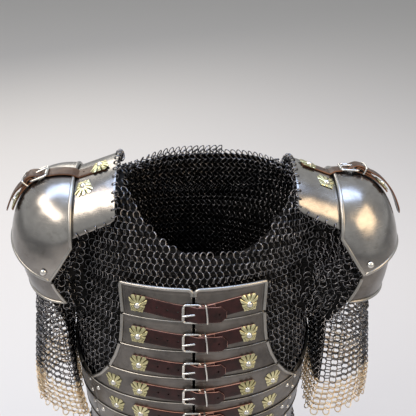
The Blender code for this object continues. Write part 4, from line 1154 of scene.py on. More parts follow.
def drill_rod(centre, first, second, radius, below, above, around):
    """Vertices and faces of a rod that cuts one hole, from below to above the surface."""
    out = first.cross(second).normalized()
    disc = [centre + (first * math.cos(turn) + second * math.sin(turn)) * radius
            for turn in (2 * math.pi * step / around for step in range(around))]
    vertices = [spot - out * below for spot in disc] + [spot + out * above for spot in disc]
    return vertices, capped_faces(2, around)


def drill(item, rods, sharp_from):
    """Cut the rods out of a piece."""
    cutter = join_meshes("drill", rods)
    cut = item.modifiers.new("holes", "BOOLEAN")
    cut.operation = "DIFFERENCE"
    cut.object = cutter
    smoothed(made_plain(item), sharp_from)
    bpy.data.objects.remove(cutter, do_unlink=True)


def punch(strap, bed, places):
    """Punch round holes through a strap at (along, off, across) places."""
    rods = []
    for along, off, across in places:
        centre, way, cross, _ = seat_axes(bed, along, off)
        rods.append(drill_rod(centre + cross * across, way, cross, hole_radius, strap_thickness,
                              strap_thickness, 12))
    drill(strap, rods, 50.0)


def tail_path(outer_end, tail):
    """From the mount under the frame's outer bar, over the pivot bar and back down to the bed."""
    outer = -frame_length
    path = [(outer_end + (outer * 1.05 - outer_end) * step / 6, first_layer) for step in range(6)]
    path += [(outer * 0.92, first_layer), (outer * 0.54, first_layer + (over_eye - first_layer) * 0.34),
             (outer * 0.14, over_eye - strap_gap), (frame_wire * 1.5, over_eye - strap_gap),
             (fold_length * 0.5, first_layer + layer * 2 + strap_gap * 3),
             (fold_length * 0.85, first_layer + layer * 2 + strap_gap)]
    return smooth_path(path + tail)


def fold_path(start):
    """From the mount to the pivot bar, round it and back over itself."""
    path = [(start + (fold_length - start) * step / 6, first_layer) for step in range(7)]
    path.append((frame_wire * 1.5, first_layer))
    for step in range(9):
        turn = -math.pi / 2 - math.pi * step / 8
        path.append((eye_radius * math.cos(turn), bar_height + eye_radius * math.sin(turn)))
    path += [(frame_wire * 1.5, bar_height + eye_radius * 0.80),
             (fold_length * 0.55, first_layer + layer * 1.12), (fold_length, first_layer + layer)]
    return smooth_path(path, 2)


def keeper_mesh(bed, width, bow):
    """Bent wire loop round the straps, its outer bar bowed a little."""
    half = width / 2 + keeper_wire
    top = first_layer + layer * 3 + keeper_wire / 2 + strap_gap * 2
    corners = [(-half, first_layer), (half, first_layer), (half, top)]
    corners += [(half * (1 - step / 3), top + bow * math.sin(math.pi * step / 6)) for step in range(1, 6)]
    corners += [(-half, top), (-half, first_layer)]
    lean = 0.10
    points = [bed(keeper_place + bow * math.sin(math.pi * index / len(corners)) - lean * across, across, off)
              for index, (across, off) in enumerate(corners)]
    return wire_mesh(round_line(points, keeper_corner, 3), keeper_wire / 2)


def strap_droop(row, along):
    """How far the straps hang below the line between their mounts: most at the buckle."""
    from_middle = min(1.0, abs(pivot_offset + along) / mount_spacing)
    return (first_droop if row == 0 else droop) * (0.5 + 0.5 * math.cos(math.pi * from_middle))


def row_bed(row):
    """Outside of a strip of the cuirass, from the buckle's pivot bar towards the wearer's left."""
    height = cuirass_top - (row + 1) * pitch + strap_rise

    def place(along, across, off):
        level = level_at(height + across - strap_droop(row, along))
        return lame_point(row, level, front_angle(level, pivot_offset + along), lame_thickness + off)

    return place


# Hand work: no two rows are alike, so each row's tail sinks, ends and its keeper bows a little differently
for row in range(rows_of_lames):
    bed = row_bed(row)
    label = f"row_{row + 1}"
    left_mount = -mount_spacing - pivot_offset
    right_mount = mount_spacing - pivot_offset
    sink = 0.10 + 0.03 * math.sin(row * 2.4)
    tail_end = tail_length + 0.0015 * math.sin(row * 1.7)
    keeper_bow = 0.0012 + 0.0006 * math.sin(row * 3.1)

    def level_tail(along):
        """The free end keeps straight on and a little down, while the strap under it climbs to its mount."""
        return strap_droop(row, along) - strap_droop(row, 0) - sink * along if along > 0 else 0.0

    tail_seat = first_layer + layer + strap_gap
    tail = [(fold_length * 1.1, first_layer + layer * 2), (tail_length * 0.80, tail_seat),
            (tail_end, tail_seat)]
    punched = strap_sheet(f"{label}_punched_strap", bed, tail_path(left_mount - mount_side / 3, tail),
                          strap_width, point=tip_length, drift=level_tail)
    tail_hole = fold_length * 1.25
    first_hole = left_mount + mount_side * 0.95
    punch(punched, bed, [(first_hole + hole_spacing * hole, first_layer, 0.0) for hole in range(3)]
          + [(tail_hole, first_layer + layer * 2, level_tail(tail_hole))])
    short = strap_sheet(f"{label}_short_strap", bed, fold_path(right_mount + mount_side / 3), strap_width,
                        side=-1)
    keeper = join_meshes(f"{label}_keeper", [keeper_mesh(bed, strap_width, keeper_bow)])
    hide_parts(f"{label}_tail_strap")
    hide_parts(f"{label}_buckle_strap")
    for piece in (punched, short):
        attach(piece, "armour")
    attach(keeper, "armour")


# Buckles of the cuirass
# Each buckle is a frame of drawn steel wire bent round and butted, bright from handling. Its tongue is a
# finger of the same wire hooked round the pivot bar, and swings up on it.
def bright_wire(name, dark, light):
    """Drawn and polished wire, with tiny scratches in its gloss."""
    made, tree, place = surface_finish(name)
    cloud_size = 0.006
    scratch_size = 0.0007  # coarser than real scratches, so that they show
    clouds = add_node(tree, "ShaderNodeTexNoise", {"Scale": 1 / cloud_size, "Detail": 5.0},
                      {"Vector": place})
    colour = add_node(tree, "ShaderNodeMix", {6: linear(dark), 7: linear(light)}, {0: clouds},
                      data_type="RGBA")
    scratches = add_node(tree, "ShaderNodeTexNoise", {"Scale": 1 / scratch_size, "Detail": 3.0},
                         {"Vector": place})
    gloss = add_node(tree, "ShaderNodeMapRange", {3: 0.14, 4: 0.34}, {0: scratches})
    return finished(made, {"Base Color": colour.outputs[2], "Roughness": gloss}, {"Metallic": 1.0})


# Bright steel of buckles, tongues and keepers
buckle_steel = bright_wire("bright_buckle_steel", "#b4b4b2", "#e2e2e0")


def buckle_axes(bed):
    """Middle of the pivot bar and the frame's directions, along the chord under the frame."""
    pivot = bed(0, 0, bar_height)
    outer = bed(-frame_length, 0, bar_height)
    cross = seat_axes(bed, 0)[2]
    way = (pivot - outer).normalized()
    normal = way.cross(cross).normalized()
    if normal.dot(bed(0, 0, bar_height * 2) - pivot) < 0:
        normal = -normal
    return pivot, way, normal.cross(way), normal


frame_corner = 0.0045
joint_reach = (-0.72, -0.6, 0.6, 0.72)
joint_bulge = 0.74
tongue_radius, tongue_seat = 0.00135, 0.0007
tongue_aside, tongue_lean = 0.0012, 0.16
tongue_taper = 0.45


def frame_mesh(bed):
    """Rounded rectangle of wire; the outer bar is a little thicker, as the joint of the wire sits there."""
    origin, way, cross, _ = buckle_axes(bed)
    half = (frame_width - frame_wire) / 2
    corners = [(-frame_length / 2, half), (0, half), (0, -half), (-frame_length, -half),
               (-frame_length, half), (-frame_length / 2, half)]
    points = [origin + way * along + cross * across for along, across in corners]
    outline = round_line(points, frame_corner, 6)[:-1]
    joint = [origin - way * frame_length + cross * across * half for across in joint_reach]
    return [wire_mesh(outline, frame_wire / 2, closed=True), wire_mesh(joint, frame_wire * joint_bulge)]


def tongue_mesh(bed):
    """Finger of wire: hooked round the pivot bar and resting on the outer bar, thinner to its tip."""
    origin, way, cross, normal = buckle_axes(bed)
    radius = frame_wire / 2 + strap_gap + tongue_seat
    around = 10
    hook_steps = 12
    path = []
    for step in range(hook_steps + 1):
        turn = math.radians(-150.0 + 240.0 * step / hook_steps)
        path.append((radius * math.cos(turn), radius * math.sin(turn)))
    path += [(-frame_length * 0.5, radius + strap_gap), (-frame_length * 0.86, radius + strap_gap * 0.75),
             (-frame_length - frame_wire * 0.45, radius - strap_gap)]
    points = [origin + way * along + normal * off + cross * (tongue_aside + tongue_lean * min(0.0, along))
              for along, off in path]
    vertices, faces = wire_mesh(points, tongue_radius, around=around)
    for vertex in vertices[-around:]:
        vertex += (points[-1] - vertex) * tongue_taper
    return vertices, faces


for row in range(rows_of_lames):
    bed = row_bed(row)
    label = f"row_{row + 1}"
    buckle = join_meshes(f"{label}_wire_frame", frame_mesh(bed))
    tongue = join_meshes(f"{label}_wire_tongue", [tongue_mesh(bed)])
    for piece, node, body in ((buckle, f"{label}_buckle_frame", "armour"),
                              (tongue, f"{label}_buckle_tongue", f"{label}_tongue")):
        piece.data.materials.append(buckle_steel)
        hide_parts(node)
        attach(piece, body)
    bpy.data.objects[f"{label}_keeper"].data.materials.append(buckle_steel)


# Brass mounts and rivets
# Square cast mounts chased as a leaf with toothed tips, grooves dark with tarnish and painted shade, each
# held by one domed rivet a little below its middle. Plain domed rivets hold the lower strips at the sides.
leaf_teeth = 7
leaf_fan = math.radians(220.0)
leaf_flare, leaf_waist, leaf_corner = 0.28, 0.92, 1.42
notch_depth, scallop_depth = 0.16, 0.08
leaf_crown, vein_depth, curl_depth, leaf_edge_drop = 0.0022, 0.0011, 0.0005, 0.0008
rivet_below_middle = 0.0032


def leaf_reach(turn):
    """How far the leaf reaches from its rivet: a square that widens upwards, its corners cut short."""
    half = mount_side / 2
    walls = ((0, 1, half + rivet_below_middle), (0, -1, half - rivet_below_middle),
             (1, -leaf_flare, half * leaf_waist), (-1, -leaf_flare, half * leaf_waist))
    facing = [(math.cos(turn) * x + math.sin(turn) * y, wall) for x, y, wall in walls]
    return min([half * leaf_corner] + [wall / slope for slope, wall in facing if slope > 0.05])


def leaf_mount():
    """One mount in its own XY plane, its tip towards Y: a toothed square leaf with chased veins."""
    around = 144
    levels = (0.16, 0.30, 0.42, 0.54, 0.66, 0.78, 0.89, 1.0)
    boss, brim = 0.30, 0.78
    foot = Vector((0, -rivet_below_middle, 0))
    vertices = []
    reliefs = []
    for step in range(around):
        turn = 2 * math.pi * step / around
        from_top = math.remainder(turn - math.pi / 2, 2 * math.pi)
        in_fan = min(1.0, max(0.0, (leaf_fan / 2 - abs(from_top)) / 0.2))
        below_fan = 1 - in_fan
        vein_line = (1 - abs(math.cos(from_top / leaf_fan * math.pi * leaf_teeth))) ** 2.0
        scallop = abs(math.sin(from_top * 6)) ** 0.7
        edge = Vector((math.cos(turn), math.sin(turn), 0)) * leaf_reach(turn)
        edge *= 1 - notch_depth * in_fan * vein_line - scallop_depth * below_fan * (1 - scallop)
        for level in levels:
            vein = vein_line * in_fan * min(1.0, max(0.0, (level - boss) / 0.35))
            curl = abs(math.sin(level * 9 + 3 * abs(math.sin(from_top * 2)))) * below_fan
            height = leaf_crown * (1 - 0.30 * level ** 2) - vein_depth * vein
            height -= curl_depth * (1 - curl) * (level > boss)
            height -= leaf_edge_drop * max(0.0, (level - brim) / (1 - brim))
            vertices.append(edge * level + foot + Vector((0, 0, height)))
            # Relief is low in the veins, the curls and the centre, where the brass is painted dark as
            # tarnish and painted shade
            reliefs.append(max(0.0, 1 - 1.5 * vein - (1 - curl) * below_fan - 0.7 * (level < boss)))
        vertices.append(edge + foot)
        reliefs.append(0.1)
    rings = len(levels) + 1
    faces = []
    for step in range(around):
        here, after = step * rings, (step + 1) % around * rings
        faces += [[here + ring, here + ring + 1, after + ring + 1, after + ring]
                  for ring in range(rings - 1)]
    top = len(vertices)
    vertices.append(foot + Vector((0, 0, leaf_crown)))
    reliefs.append(0.3)
    faces += [[top, step * rings, (step + 1) % around * rings] for step in range(around)]
    faces.append([step * rings + rings - 1 for step in range(around)][::-1])
    item = join_meshes("leaf_mount", [(vertices, faces)])
    relief = item.data.attributes.new("relief", "FLOAT", "POINT")
    relief.data.foreach_set("value", reliefs)
    return item


def domed_rivet():
    """One rivet head of one metre's radius: a low dome on a thin foot."""
    around = 20
    profile = ((1.0, 0.0), (1.0, 0.10), (0.90, 0.26), (0.76, 0.42), (0.55, 0.57), (0.30, 0.67),
               (0.12, 0.70))
    turns = [2 * math.pi * step / around for step in range(around)]
    vertices = [Vector((math.cos(turn) * radius, math.sin(turn) * radius, height))
                for radius, height in profile for turn in turns]
    return join_meshes("domed_rivet", [(vertices, capped_faces(len(profile), around))])


def small_fixing(tree, given):
    """The fixing and its size, as the inputs say."""
    pattern = add_node(tree, "GeometryNodeObjectInfo", links={"Object": given["Fixing"]})
    size = add_node(tree, "ShaderNodeCombineXYZ", links={axis: given["Size"] for axis in range(3)})
    return {"Instance": pattern.outputs["Geometry"], "Scale": size}


# Cast brass, gone pale and greenish, bright on its ridges and nearly black in its grooves, as tarnish and
# painted shade
aged_brass, brass_tree, brass_place = surface_finish("aged_cast_brass")
pit_size = 0.0025
brass_tone = add_node(brass_tree, "ShaderNodeAttribute", attribute_name="tone")
brass_relief = add_node(brass_tree, "ShaderNodeAttribute", attribute_name="relief")
brass_worn = add_node(brass_tree, "ShaderNodeMix", {6: linear("#9f9a70"), 7: linear("#d6d2aa")},
                      {0: brass_tone.outputs["Fac"]}, data_type="RGBA")
brass_pits = add_node(brass_tree, "ShaderNodeTexNoise",
                      {"Scale": 1 / pit_size, "Detail": 6.0, "Roughness": 0.7}, {"Vector": brass_place})
brass_depth = add_node(brass_tree, "ShaderNodeMath",
                       links={0: brass_relief.outputs["Fac"], 1: brass_pits}, operation="ADD")
brass_high = add_node(brass_tree, "ShaderNodeMapRange", {1: 0.60, 2: 1.35}, {0: brass_depth})
brass_colour = add_node(brass_tree, "ShaderNodeMix", {6: linear("#3f3a20")},
                        {0: brass_high, 7: brass_worn.outputs[2]}, data_type="RGBA")
brass_gloss = add_node(brass_tree, "ShaderNodeMapRange", {3: 0.55, 4: 0.26}, {0: brass_high})
brass_bump = add_node(brass_tree, "ShaderNodeBump", {"Strength": 0.25, "Distance": 0.0003},
                      {"Height": brass_pits})
finished(aged_brass, {"Base Color": brass_colour.outputs[2], "Roughness": brass_gloss,
                      "Normal": brass_bump}, {"Metallic": 1.0})

fixings = repeating_tree("small_fixings", {"Fixing": "Object", "Size": "Float"}, small_fixing, 5)
mount_pattern = leaf_mount()
rivet_pattern = domed_rivet()
mount_scale = 0.88
mount_rivet_radius, mount_rivet_seat = 0.0042, 0.0016
plain_rivet_radius = 0.0036


def fixing_poses(bed, along, off, down=0.0):
    """Pose of a fixing on a strap's bed, its own Y towards the strap's upper edge."""
    here, way, cross, normal = seat_axes(bed, along, off)
    return pose_of(here - cross * down, cross.cross(normal), cross, normal)


def mounts_and_rivets(name, places, body):
    """Brass mounts at (bed, along, off) places, each with its rivet."""
    mount_poses = [fixing_poses(bed, along, off) for bed, along, off in places]
    rivet_poses = [fixing_poses(bed, along, off + mount_rivet_seat, rivet_below_middle * mount_scale)
                   for bed, along, off in places]
    mounts = repeat(f"{name}_mounts", mount_poses, fixings,
                    {"Fixing": mount_pattern, "Size": mount_scale, "Metal": aged_brass})
    rivets = repeat(f"{name}_mount_rivets", rivet_poses, fixings,
                    {"Fixing": rivet_pattern, "Size": mount_rivet_radius, "Metal": buckle_steel})
    for piece in (mounts, rivets):
        smoothed(piece)
        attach(piece, body)


def plain_rivets(name, poses, radius, body):
    rivets = repeat(name, poses, fixings, {"Fixing": rivet_pattern, "Size": radius, "Metal": buckle_steel})
    smoothed(rivets)
    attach(rivets, body)


def sheet_bed(row, height_share=0.5):
    """A strip's own outside, measured sideways from the centre line at a share of its height."""
    height = cuirass_top - (row + 1) * pitch + pitch * height_share

    def place(along, across, off):
        level = level_at(height + across)
        return lame_point(row, level, front_angle(level, along), lame_thickness + off)

    return place


strap_top = first_layer + strap_thickness / 2
strap_mounts = [(row_bed(row), side * mount_spacing - pivot_offset, strap_top)
                for row in range(rows_of_lames) for side in (-1, 1)]
mounts_and_rivets("cuirass", strap_mounts, "armour")
outer_mounts = {3: 0.1085, 4: 0.1060, 5: 0.1040, 6: 0.1020}  # row and distance from the centre line
mounts_and_rivets("cuirass_side", [(sheet_bed(row, strap_rise / pitch), side * distance, 0.0)
                                   for row, distance in outer_mounts.items() for side in (-1, 1)], "armour")
riveted_rows = range(armhole_rows, rows_of_lames)
corner_rivet_height, corner_rivet_inset = 0.72, 0.009
corner_rivets = [fixing_poses(sheet_bed(row, corner_rivet_height),
                              side * (edge_distance(top_line - row - 0.3) - corner_rivet_inset), 0.0)
                 for row in riveted_rows for side in (-1, 1)]
plain_rivets("cuirass_corner_rivets", corner_rivets, plain_rivet_radius, "armour")
back_rivet_inset = 0.007
back_rivets = []
for level in [top_line - row - 1 + share for row in riveted_rows for share in (0.3, 0.78)]:
    first = back_start(level) + back_rivet_inset / section_at(level)[1]
    for turn in (math.pi - first, first):
        out = body_normal(level, turn)
        along = Vector((0, 0, 1)).cross(out).normalized()
        back_rivets.append(pose_of(shell_point(level, turn, lame_thickness), along, out.cross(along), out))
plain_rivets("back_side_rivets", back_rivets, plain_rivet_radius * 0.9, "armour")


# Shoulder plates
# A bent steel plate lies over each shoulder. A row of small black rings through its edge holes ties it to
# the mail, and two brass mounts sit on its crown.
side_tilt = {"left": math.radians(4.0), "right": math.radians(-8.0)}
tilt_height = 0.700
shoulder_top = tilt_height + 0.016
plate_inner, plate_outer, plate_half_depth = 0.114, 0.178, 0.074
plate_foot, plate_foot_slope = shoulder_top - 0.034, 0.031
plate_crown, plate_crown_slope = shoulder_top + 0.0125, 0.0235
plate_thickness = 0.0014
shoulder_bevel = 0.0004
plate_end, plate_arc = 0.93, 0.095  # share of the whole arch that the plate covers, and the arch's length
plate_corner = 0.008
plate_steps, plate_columns = 64, 22
hole_inset, hole_reach, hole_side = 0.0042, 0.84, 0.0013
end_slope = 0.075  # metres along the plate's ends for one share of its arch
drill_below, drill_above = 0.002, 0.004
inside_shoulder = Vector((0.16, 0, 0.62))


def shoulder_place(local, side_name):
    """From the right shoulder's upright frame to the shoulder as it hangs."""
    turn = side_tilt[side_name]
    y = local.y * math.cos(turn) - (local.z - tilt_height) * math.sin(turn)
    z = tilt_height + local.y * math.sin(turn) + (local.z - tilt_height) * math.cos(turn)
    return Vector((sides[side_name] * local.x, y, z))


def arch(share, half_depth, foot, top):
    """Fore-aft place and height on a half oval, share running from -1 at the front to 1 at the back."""
    return half_depth * math.sin(share * math.pi / 2), foot + (top - foot) * math.cos(share * math.pi / 2)


def plate_point(x_share, arch_share, lift=0.0):
    y, z = arch(arch_share, plate_half_depth, plate_foot - plate_foot_slope * x_share,
                plate_crown - plate_crown_slope * x_share)
    return Vector((plate_inner + (plate_outer - plate_inner) * x_share, y, z + lift))


def shoulder_axes(local_point, first_share, second_share, side_name):
    """Place, first direction and outward direction of a shoulder surface given by two shares."""
    step = 0.01
    here = shoulder_place(local_point(first_share, second_share), side_name)
    first = shoulder_place(local_point(first_share + step, second_share), side_name) - here
    second = shoulder_place(local_point(first_share, second_share + step), side_name) - here
    out = first.cross(second).normalized()
    if out.dot(here - shoulder_place(inside_shoulder, side_name)) < 0:
        out = -out
    return here, first.normalized(), out


# Polished steel of the shoulders: bright, with soft hammer dents and a few dull stains
polished_steel = worked_steel("polished_shoulder_steel", "#7b7978", "#a09e9b", "#5f5a54",
                              roughness=0.22, dents=0.03, dent_strength=0.60)

inset_share = hole_inset / (plate_outer - plate_inner)
end_share = plate_end - hole_inset / end_slope
hole_places = [(inset_share, hole_reach * (hole / 7 - 1)) for hole in range(15)]
hole_places += [(0.22 + 0.56 * hole / 3, end * end_share) for hole in range(4) for end in (-1, 1)]
hole_places += [(1 - inset_share, end * (hole_reach - 0.12 * hole)) for hole in range(5) for end in (-1, 1)]
tie_radius, tie_wire, tie_reach, tie_sink = 0.0040, 0.0010, 0.0032, 0.0002
for side_name, side in sides.items():
    rows = []
    for step in range(plate_steps + 1):
        share = plate_end * (2 * step / plate_steps - 1)
        cut = corner_cut((plate_end - abs(share)) * plate_arc, plate_corner) / (plate_outer - plate_inner)
        across = [cut + (1 - 2 * cut) * column / plate_columns for column in range(plate_columns + 1)]
        rows.append([shoulder_place(plate_point(x_share, share), side_name) for x_share in across])
    sheet = grid_piece(f"{side_name}_shoulder_sheet", rows, flip=side < 0)
    plate = thicken(sheet, plate_thickness, 1.0, shoulder_bevel)
    plate.data.materials.append(polished_steel)
    rods = []
    ring_poses = []
    for x_share, arch_share in hole_places:
        centre, across, out = shoulder_axes(plate_point, x_share, arch_share, side_name)
        over = out.cross(across)
        rods.append(drill_rod(centre, across, over, hole_side, drill_below, drill_above, 8))
        if abs(arch_share) > hole_reach - 0.04 and 0.1 < x_share < 0.9:
            outward = over if over.y * arch_share > 0 else -over
        else:
            outward = -across if x_share < 0.5 else across
        wobble = math.radians(12.0) * math.sin(len(ring_poses) * 2.3)
        edge_way = out.cross(outward).normalized()
        ring_axis = (edge_way * math.cos(wobble) + outward * math.sin(wobble)).normalized()
        ring_place = centre + outward * tie_reach - out * tie_sink
        ring_poses.append(pose_of(ring_place, out, ring_axis.cross(out), ring_axis))
    drill(plate, rods, 35.0)
    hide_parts(f"{side_name}_shoulder_plate")
    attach(plate, "armour")
    ties = repeat(f"{side_name}_plate_ties", ring_poses, knit,
                  {"Ring radius": tie_radius, "Wire radius": tie_wire, "Play": 0.10, "Metal": black_wire})
    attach(ties, "armour")


# Shoulder cops and lower strips
# A deep polished cop with a rolled rim covers the shoulder's point. A crescent strip hangs inside its outer
# edge on a rivet at each end, and swings a little on them.
cop_inner = 0.1725
cop_tip_x, cop_edge_x = 0.203, 0.262
cop_tip_depth, cop_half_depth = 0.087, 0.0805
cop_top, cop_foot = shoulder_top - 0.004, shoulder_top - 0.065
cop_tip_height, cop_edge_height = shoulder_top - 0.113, shoulder_top - 0.088
cop_swell_x, cop_swell_height = 0.247, cop_top + 0.010
cop_thickness = 0.0015
cop_rim_radius = 0.0021
cop_bead = 1.3  # the rolled rim is drawn this much thicker than the solid's
lower_lame_drop = 0.070
lower_lame_clearance = 0.0030
lower_tuck = 0.72  # share of the way over the cop where the lower strip starts, inside it
lower_tip_reach = 0.014
lower_rivet_radius, lower_rivet_seat = 0.0046, 0.0028
lower_rivet_arch, lower_rivet_out = 0.88, 0.86
cop_arches, cop_outs = 56, 22
lower_arches, lower_drops = 44, 12


def bent_between(first, middle, last, share):
    """A place on the smooth bend from first to last that middle draws towards itself."""
    stay = 1.0 - share
    return first * stay * stay + middle * 2.0 * stay * share + last * share * share


def cop_point(arch_share, out_share):
    """On the cop: out_share runs from the inner rim over the dome to the outer rim."""
    y, z = arch(arch_share, cop_half_depth, cop_foot, cop_top)
    tip = math.cos(arch_share * math.pi / 2)
    fore = math.sin(arch_share * math.pi / 2)
    outer = Vector((cop_tip_x + (cop_edge_x - cop_tip_x) * tip, cop_tip_depth * fore,
                    cop_tip_height + (cop_edge_height - cop_tip_height) * tip))
    swell_low = (cop_inner + cop_tip_x) / 2
    swell_foot = (cop_foot + cop_tip_height) / 2
    swell = Vector((swell_low + (cop_swell_x - swell_low) * tip, cop_tip_depth * 1.03 * fore,
                    swell_foot + (cop_swell_height - swell_foot) * tip))
    return bent_between(Vector((cop_inner, y, z)), swell, outer, out_share)


def inside_cop(arch_share, out_share):
    """A place inside the cop, clear of its rolled rim."""
    step = 0.01
    narrowed = arch_share * 0.95
    here = cop_point(narrowed, out_share)
    along = cop_point(narrowed + step, out_share) - cop_point(narrowed - step, out_share)
    out = here - cop_point(narrowed, out_share - step)
    normal = out.cross(along).normalized()
    if normal.dot(Vector((here.x - cop_inner, here.y, here.z - cop_foot))) < 0:
        normal = -normal
    return here - normal * lower_lame_clearance


def lower_lame_point(arch_share, drop_share):
    """On the lower strip: tucked inside the cop's outer rim, hanging below it."""
    tuck = inside_cop(arch_share, lower_tuck)
    edge = inside_cop(arch_share, 1.0)
    middle = math.cos(arch_share * math.pi / 2)
    crescent = 0.62 + 0.38 * middle
    end = edge + Vector((-lower_lame_drop * 0.15, 0, -lower_lame_drop)) * crescent
    end.x -= lower_tip_reach * (1 - middle)
    return bent_between(tuck, edge + (edge - tuck) * 0.35, end, drop_share)


# Steel of the lower strips: as the cops, less polished
lower_steel = worked_steel("rubbed_lower_steel", "#5f5d5c", "#82807e", "#4b4742",
                           roughness=0.28, dents=0.03, dent_strength=0.45)
for side_name, side in sides.items():
    shares = [2 * step / cop_arches - 1 for step in range(cop_arches + 1)]
    dome = [[shoulder_place(cop_point(share, out / cop_outs), side_name) for out in range(cop_outs + 1)]
            for share in shares]
    cop = thicken(grid_piece(f"{side_name}_domed_cop", dome, flip=side < 0), cop_thickness, 1.0)
    cop.data.materials.append(polished_steel)
    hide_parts(f"{side_name}_cop")
    front_side, back_side = ([cop_point(end, step / 4) for step in (1, 2, 3)] for end in (-1, 1))
    route = [cop_point(share, 0) for share in shares] + back_side
    route += [cop_point(share, 1) for share in reversed(shares)] + front_side[::-1]
    route = [shoulder_place(spot, side_name) for spot in route]
    rim = join_meshes(f"{side_name}_cop_rolled_rim",
                      [wire_mesh(route, cop_rim_radius * cop_bead, closed=True)])
    # Rolled rim in the lighter rim steel: a painted highlight
    rim.data.materials.append(rim_highlight_steel)
    for piece in (cop, rim):
        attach(piece, f"{side_name}_shoulder_cop")

    shares = [2 * step / lower_arches - 1 for step in range(lower_arches + 1)]
    drops = [step / lower_drops for step in range(lower_drops + 1)]
    rows = [[shoulder_place(lower_lame_point(share, drop), side_name) for drop in drops] for share in shares]
    sheet = grid_piece(f"{side_name}_lower_strip", rows, flip=side < 0)
    strip = thicken(sheet, cop_thickness, -1.0, shoulder_bevel)
    strip.data.materials.append(lower_steel)
    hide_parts(f"{side_name}_lower_lame")
    shown = lower_drops // 2
    lower_route = rows[0][shown:-1] + [line[-1] for line in rows] + rows[-1][shown:-1][::-1]
    lower_rim = join_meshes(f"{side_name}_lower_rolled_edge", [wire_mesh(lower_route, cop_rim_radius)])
    # Rolled edge in the lighter rim steel: a painted highlight
    lower_rim.data.materials.append(rim_highlight_steel)
    for piece in (strip, lower_rim):
        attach(piece, f"{side_name}_lame")
    pins = []
    for end in (-1, 1):
        local = cop_point(end * lower_rivet_arch, lower_rivet_out)
        centre = shoulder_place(local, side_name)
        outward = (shoulder_place(local + Vector((0, end, 0)), side_name) - centre).normalized()
        across = Vector((1, 0, 0))
        pins.append(pose_of(centre + outward * lower_rivet_seat, across, outward.cross(across), outward))
    plain_rivets(f"{side_name}_lame_rivets", pins, lower_rivet_radius, f"{side_name}_lame")


# Shoulder straps and buckles
# A strap from the plate's brass mount runs out over the cop to a wire buckle on the cop's crown; its long
# free end hangs down outside the cop's rim.
brown_hide = hide_finish("brown_shoulder_hide", "#2e201a", "#57402f")
brown_cut_edge = hide_finish("brown_cut_hide_edge", "#6d4a35", "#93694e")
shoulder_pivot = {"left": 0.226, "right": 0.203}
shoulder_mount_x = 0.137
shoulder_tail_end = 0.188
shoulder_strap_width = 0.018
shoulder_tip = 0.008
shoulder_keeper_bow = 0.0014
tail_hole_inset, tail_hole_spacing = 0.016, 0.012
front_mount_place = (0.66, -0.27, 0.11)  # shares across and along the plate, and metres for one share along
back_swing, back_swing_growth = 0.011, 1.2
forward_swing, forward_swing_growth = 0.010, 1.5
bed_outs = 24


def bed_line():
    """Line that the strap lies on: plate crown, the cop's inner rim, the cop's crown, and free below it."""
    before_cop = Vector((cop_inner - cop_rim_radius * 3, 0, plate_point(0.82, 0, plate_thickness).z))
    line = [plate_point(0, 0, plate_thickness), plate_point(0.35, 0, plate_thickness), before_cop,
            cop_point(0, 0) + Vector((0, 0, cop_rim_radius + strap_gap))]
    for out in range(1, bed_outs + 1):
        here = cop_point(0, out / bed_outs)
        before = cop_point(0, (out - 1) / bed_outs)
        after = cop_point(0, min(1, (out + 1) / bed_outs))
        way = after - before
        line.append(here + Vector((-way.z, 0, way.x)).normalized() * (cop_thickness + strap_gap * 3))
    line.append(line[-1] + Vector((0, 0, -lower_lame_drop)))
    return line


def place_of(line, x):
    """How far along the line its place at a distance from the middle of the body lies."""
    travelled = 0.0
    for first, second in zip(line, line[1:]):
        if second.x >= x:
            return travelled + (second - first).length * (x - first.x) / (second.x - first.x)
        travelled += (second - first).length
    return travelled


def plate_bed(side_name):
    """The shoulder plate's own outside, about its front mount."""

    def place(along, across, off):
        x_share = front_mount_place[0] + along / (plate_outer - plate_inner)
        arch_share = front_mount_place[1] + across / front_mount_place[2]
        here, _, out = shoulder_axes(plate_point, x_share, arch_share, side_name)
        return here + out * (plate_thickness + off)

    return place


def shoulder_bed(side_name):
    """The strap's bed on one shoulder, from its buckle's pivot bar outwards."""
    line = bed_line()
    pivot = place_of(line, shoulder_pivot[side_name])

    def spot(distance):
        travelled = 0.0
        for first, second in zip(line, line[1:]):
            length = (second - first).length
            if distance <= travelled + length or second is line[-1]:
                return first + (second - first).normalized() * (distance - travelled)
            travelled += length
        return None

    def place(along, across, off):
        reach = strap_width / 2
        way = spot(pivot + along + reach) - spot(pivot + along - reach)
        normal = Vector((-way.z, 0, way.x)).normalized()
        return shoulder_place(spot(pivot + along) + normal * off + Vector((0, across, 0)), side_name)

    return place, pivot, line


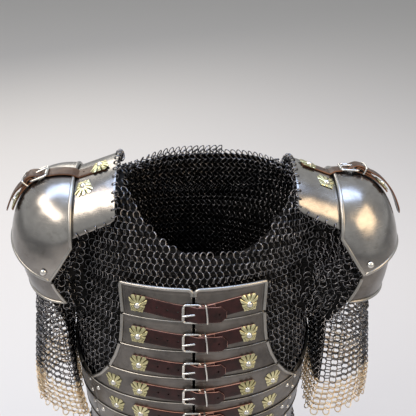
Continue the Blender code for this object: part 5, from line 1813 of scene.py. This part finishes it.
for side_name, side in sides.items():
    bed, pivot, line = shoulder_bed(side_name)
    cop_body = f"{side_name}_shoulder_cop"
    mount_along = place_of(line, shoulder_mount_x) - pivot
    end = shoulder_tail_end - pivot
    over_mount = first_layer + layer * 2.4
    bow = first_layer + layer * 4.0
    tail_start = fold_length * 1.5
    tail = [(fold_length * 1.1, first_layer + layer * 2)]
    tail += [(tail_start + (end - tail_start) * step / 6, over_mount + (bow - over_mount) * step / 6)
             for step in range(7)]

    def swung_back(along):
        """The free end lies towards the back, clear of the cop's mount."""
        return back_swing * max(0.0, along / end) ** back_swing_growth

    long_strap = strap_sheet(f"{side_name}_long_strap", bed, tail_path(mount_along - mount_side / 3, tail),
                             shoulder_strap_width, point=shoulder_tip, drift=swung_back, side=side)
    tail_holes = [(end - tail_hole_inset - tail_hole_spacing * hole,
                   bow - (bow - over_mount) * 0.25 * (hole + 1)) for hole in range(3)]
    punch(long_strap, bed, [(mount_along + mount_side * 0.9, first_layer, 0.0)]
          + [(along, off, swung_back(along)) for along, off in tail_holes])
    cop_mount_along = mount_spacing / 2

    def short_bed(along, across, off):
        """The bed turned forward towards the cop's mount, so that short strap and mount lie askew."""
        swing = forward_swing * max(0.0, along / cop_mount_along) ** forward_swing_growth
        return bed(along, across - swing, off)

    short_strap = strap_sheet(f"{side_name}_short_strap", short_bed,
                              fold_path(mount_side / 3 + cop_mount_along), shoulder_strap_width, side=-side)
    for strap in (long_strap, short_strap):
        strap.data.materials[0] = brown_hide
        strap.data.materials[1] = brown_cut_edge
    keeper = join_meshes(f"{side_name}_shoulder_keeper",
                         [keeper_mesh(bed, shoulder_strap_width, shoulder_keeper_bow)])
    buckle = join_meshes(f"{side_name}_shoulder_wire_frame", frame_mesh(bed))
    tongue = join_meshes(f"{side_name}_shoulder_wire_tongue", [tongue_mesh(bed)])
    for piece in (keeper, buckle, tongue):
        piece.data.materials.append(buckle_steel)
    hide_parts(f"{side_name}_shoulder_strap")
    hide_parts(f"{side_name}_cop_strap")
    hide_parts(f"{side_name}_shoulder_buckle_frame")
    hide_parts(f"{side_name}_shoulder_buckle_tongue")
    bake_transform(long_strap)
    for piece in (short_strap, keeper, buckle):
        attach(piece, cop_body)
    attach(tongue, f"{side_name}_shoulder_tongue")
    plate_mounts = [(bed, mount_along, strap_top), (plate_bed(side_name), 0.0, 0.0)]
    mounts_and_rivets(f"{side_name}_plate", plate_mounts, "armour")
    mounts_and_rivets(f"{side_name}_cop", [(short_bed, cop_mount_along, strap_top)], cop_body)

for pattern in (mount_pattern, rivet_pattern):
    bpy.data.objects.remove(pattern, do_unlink=True)
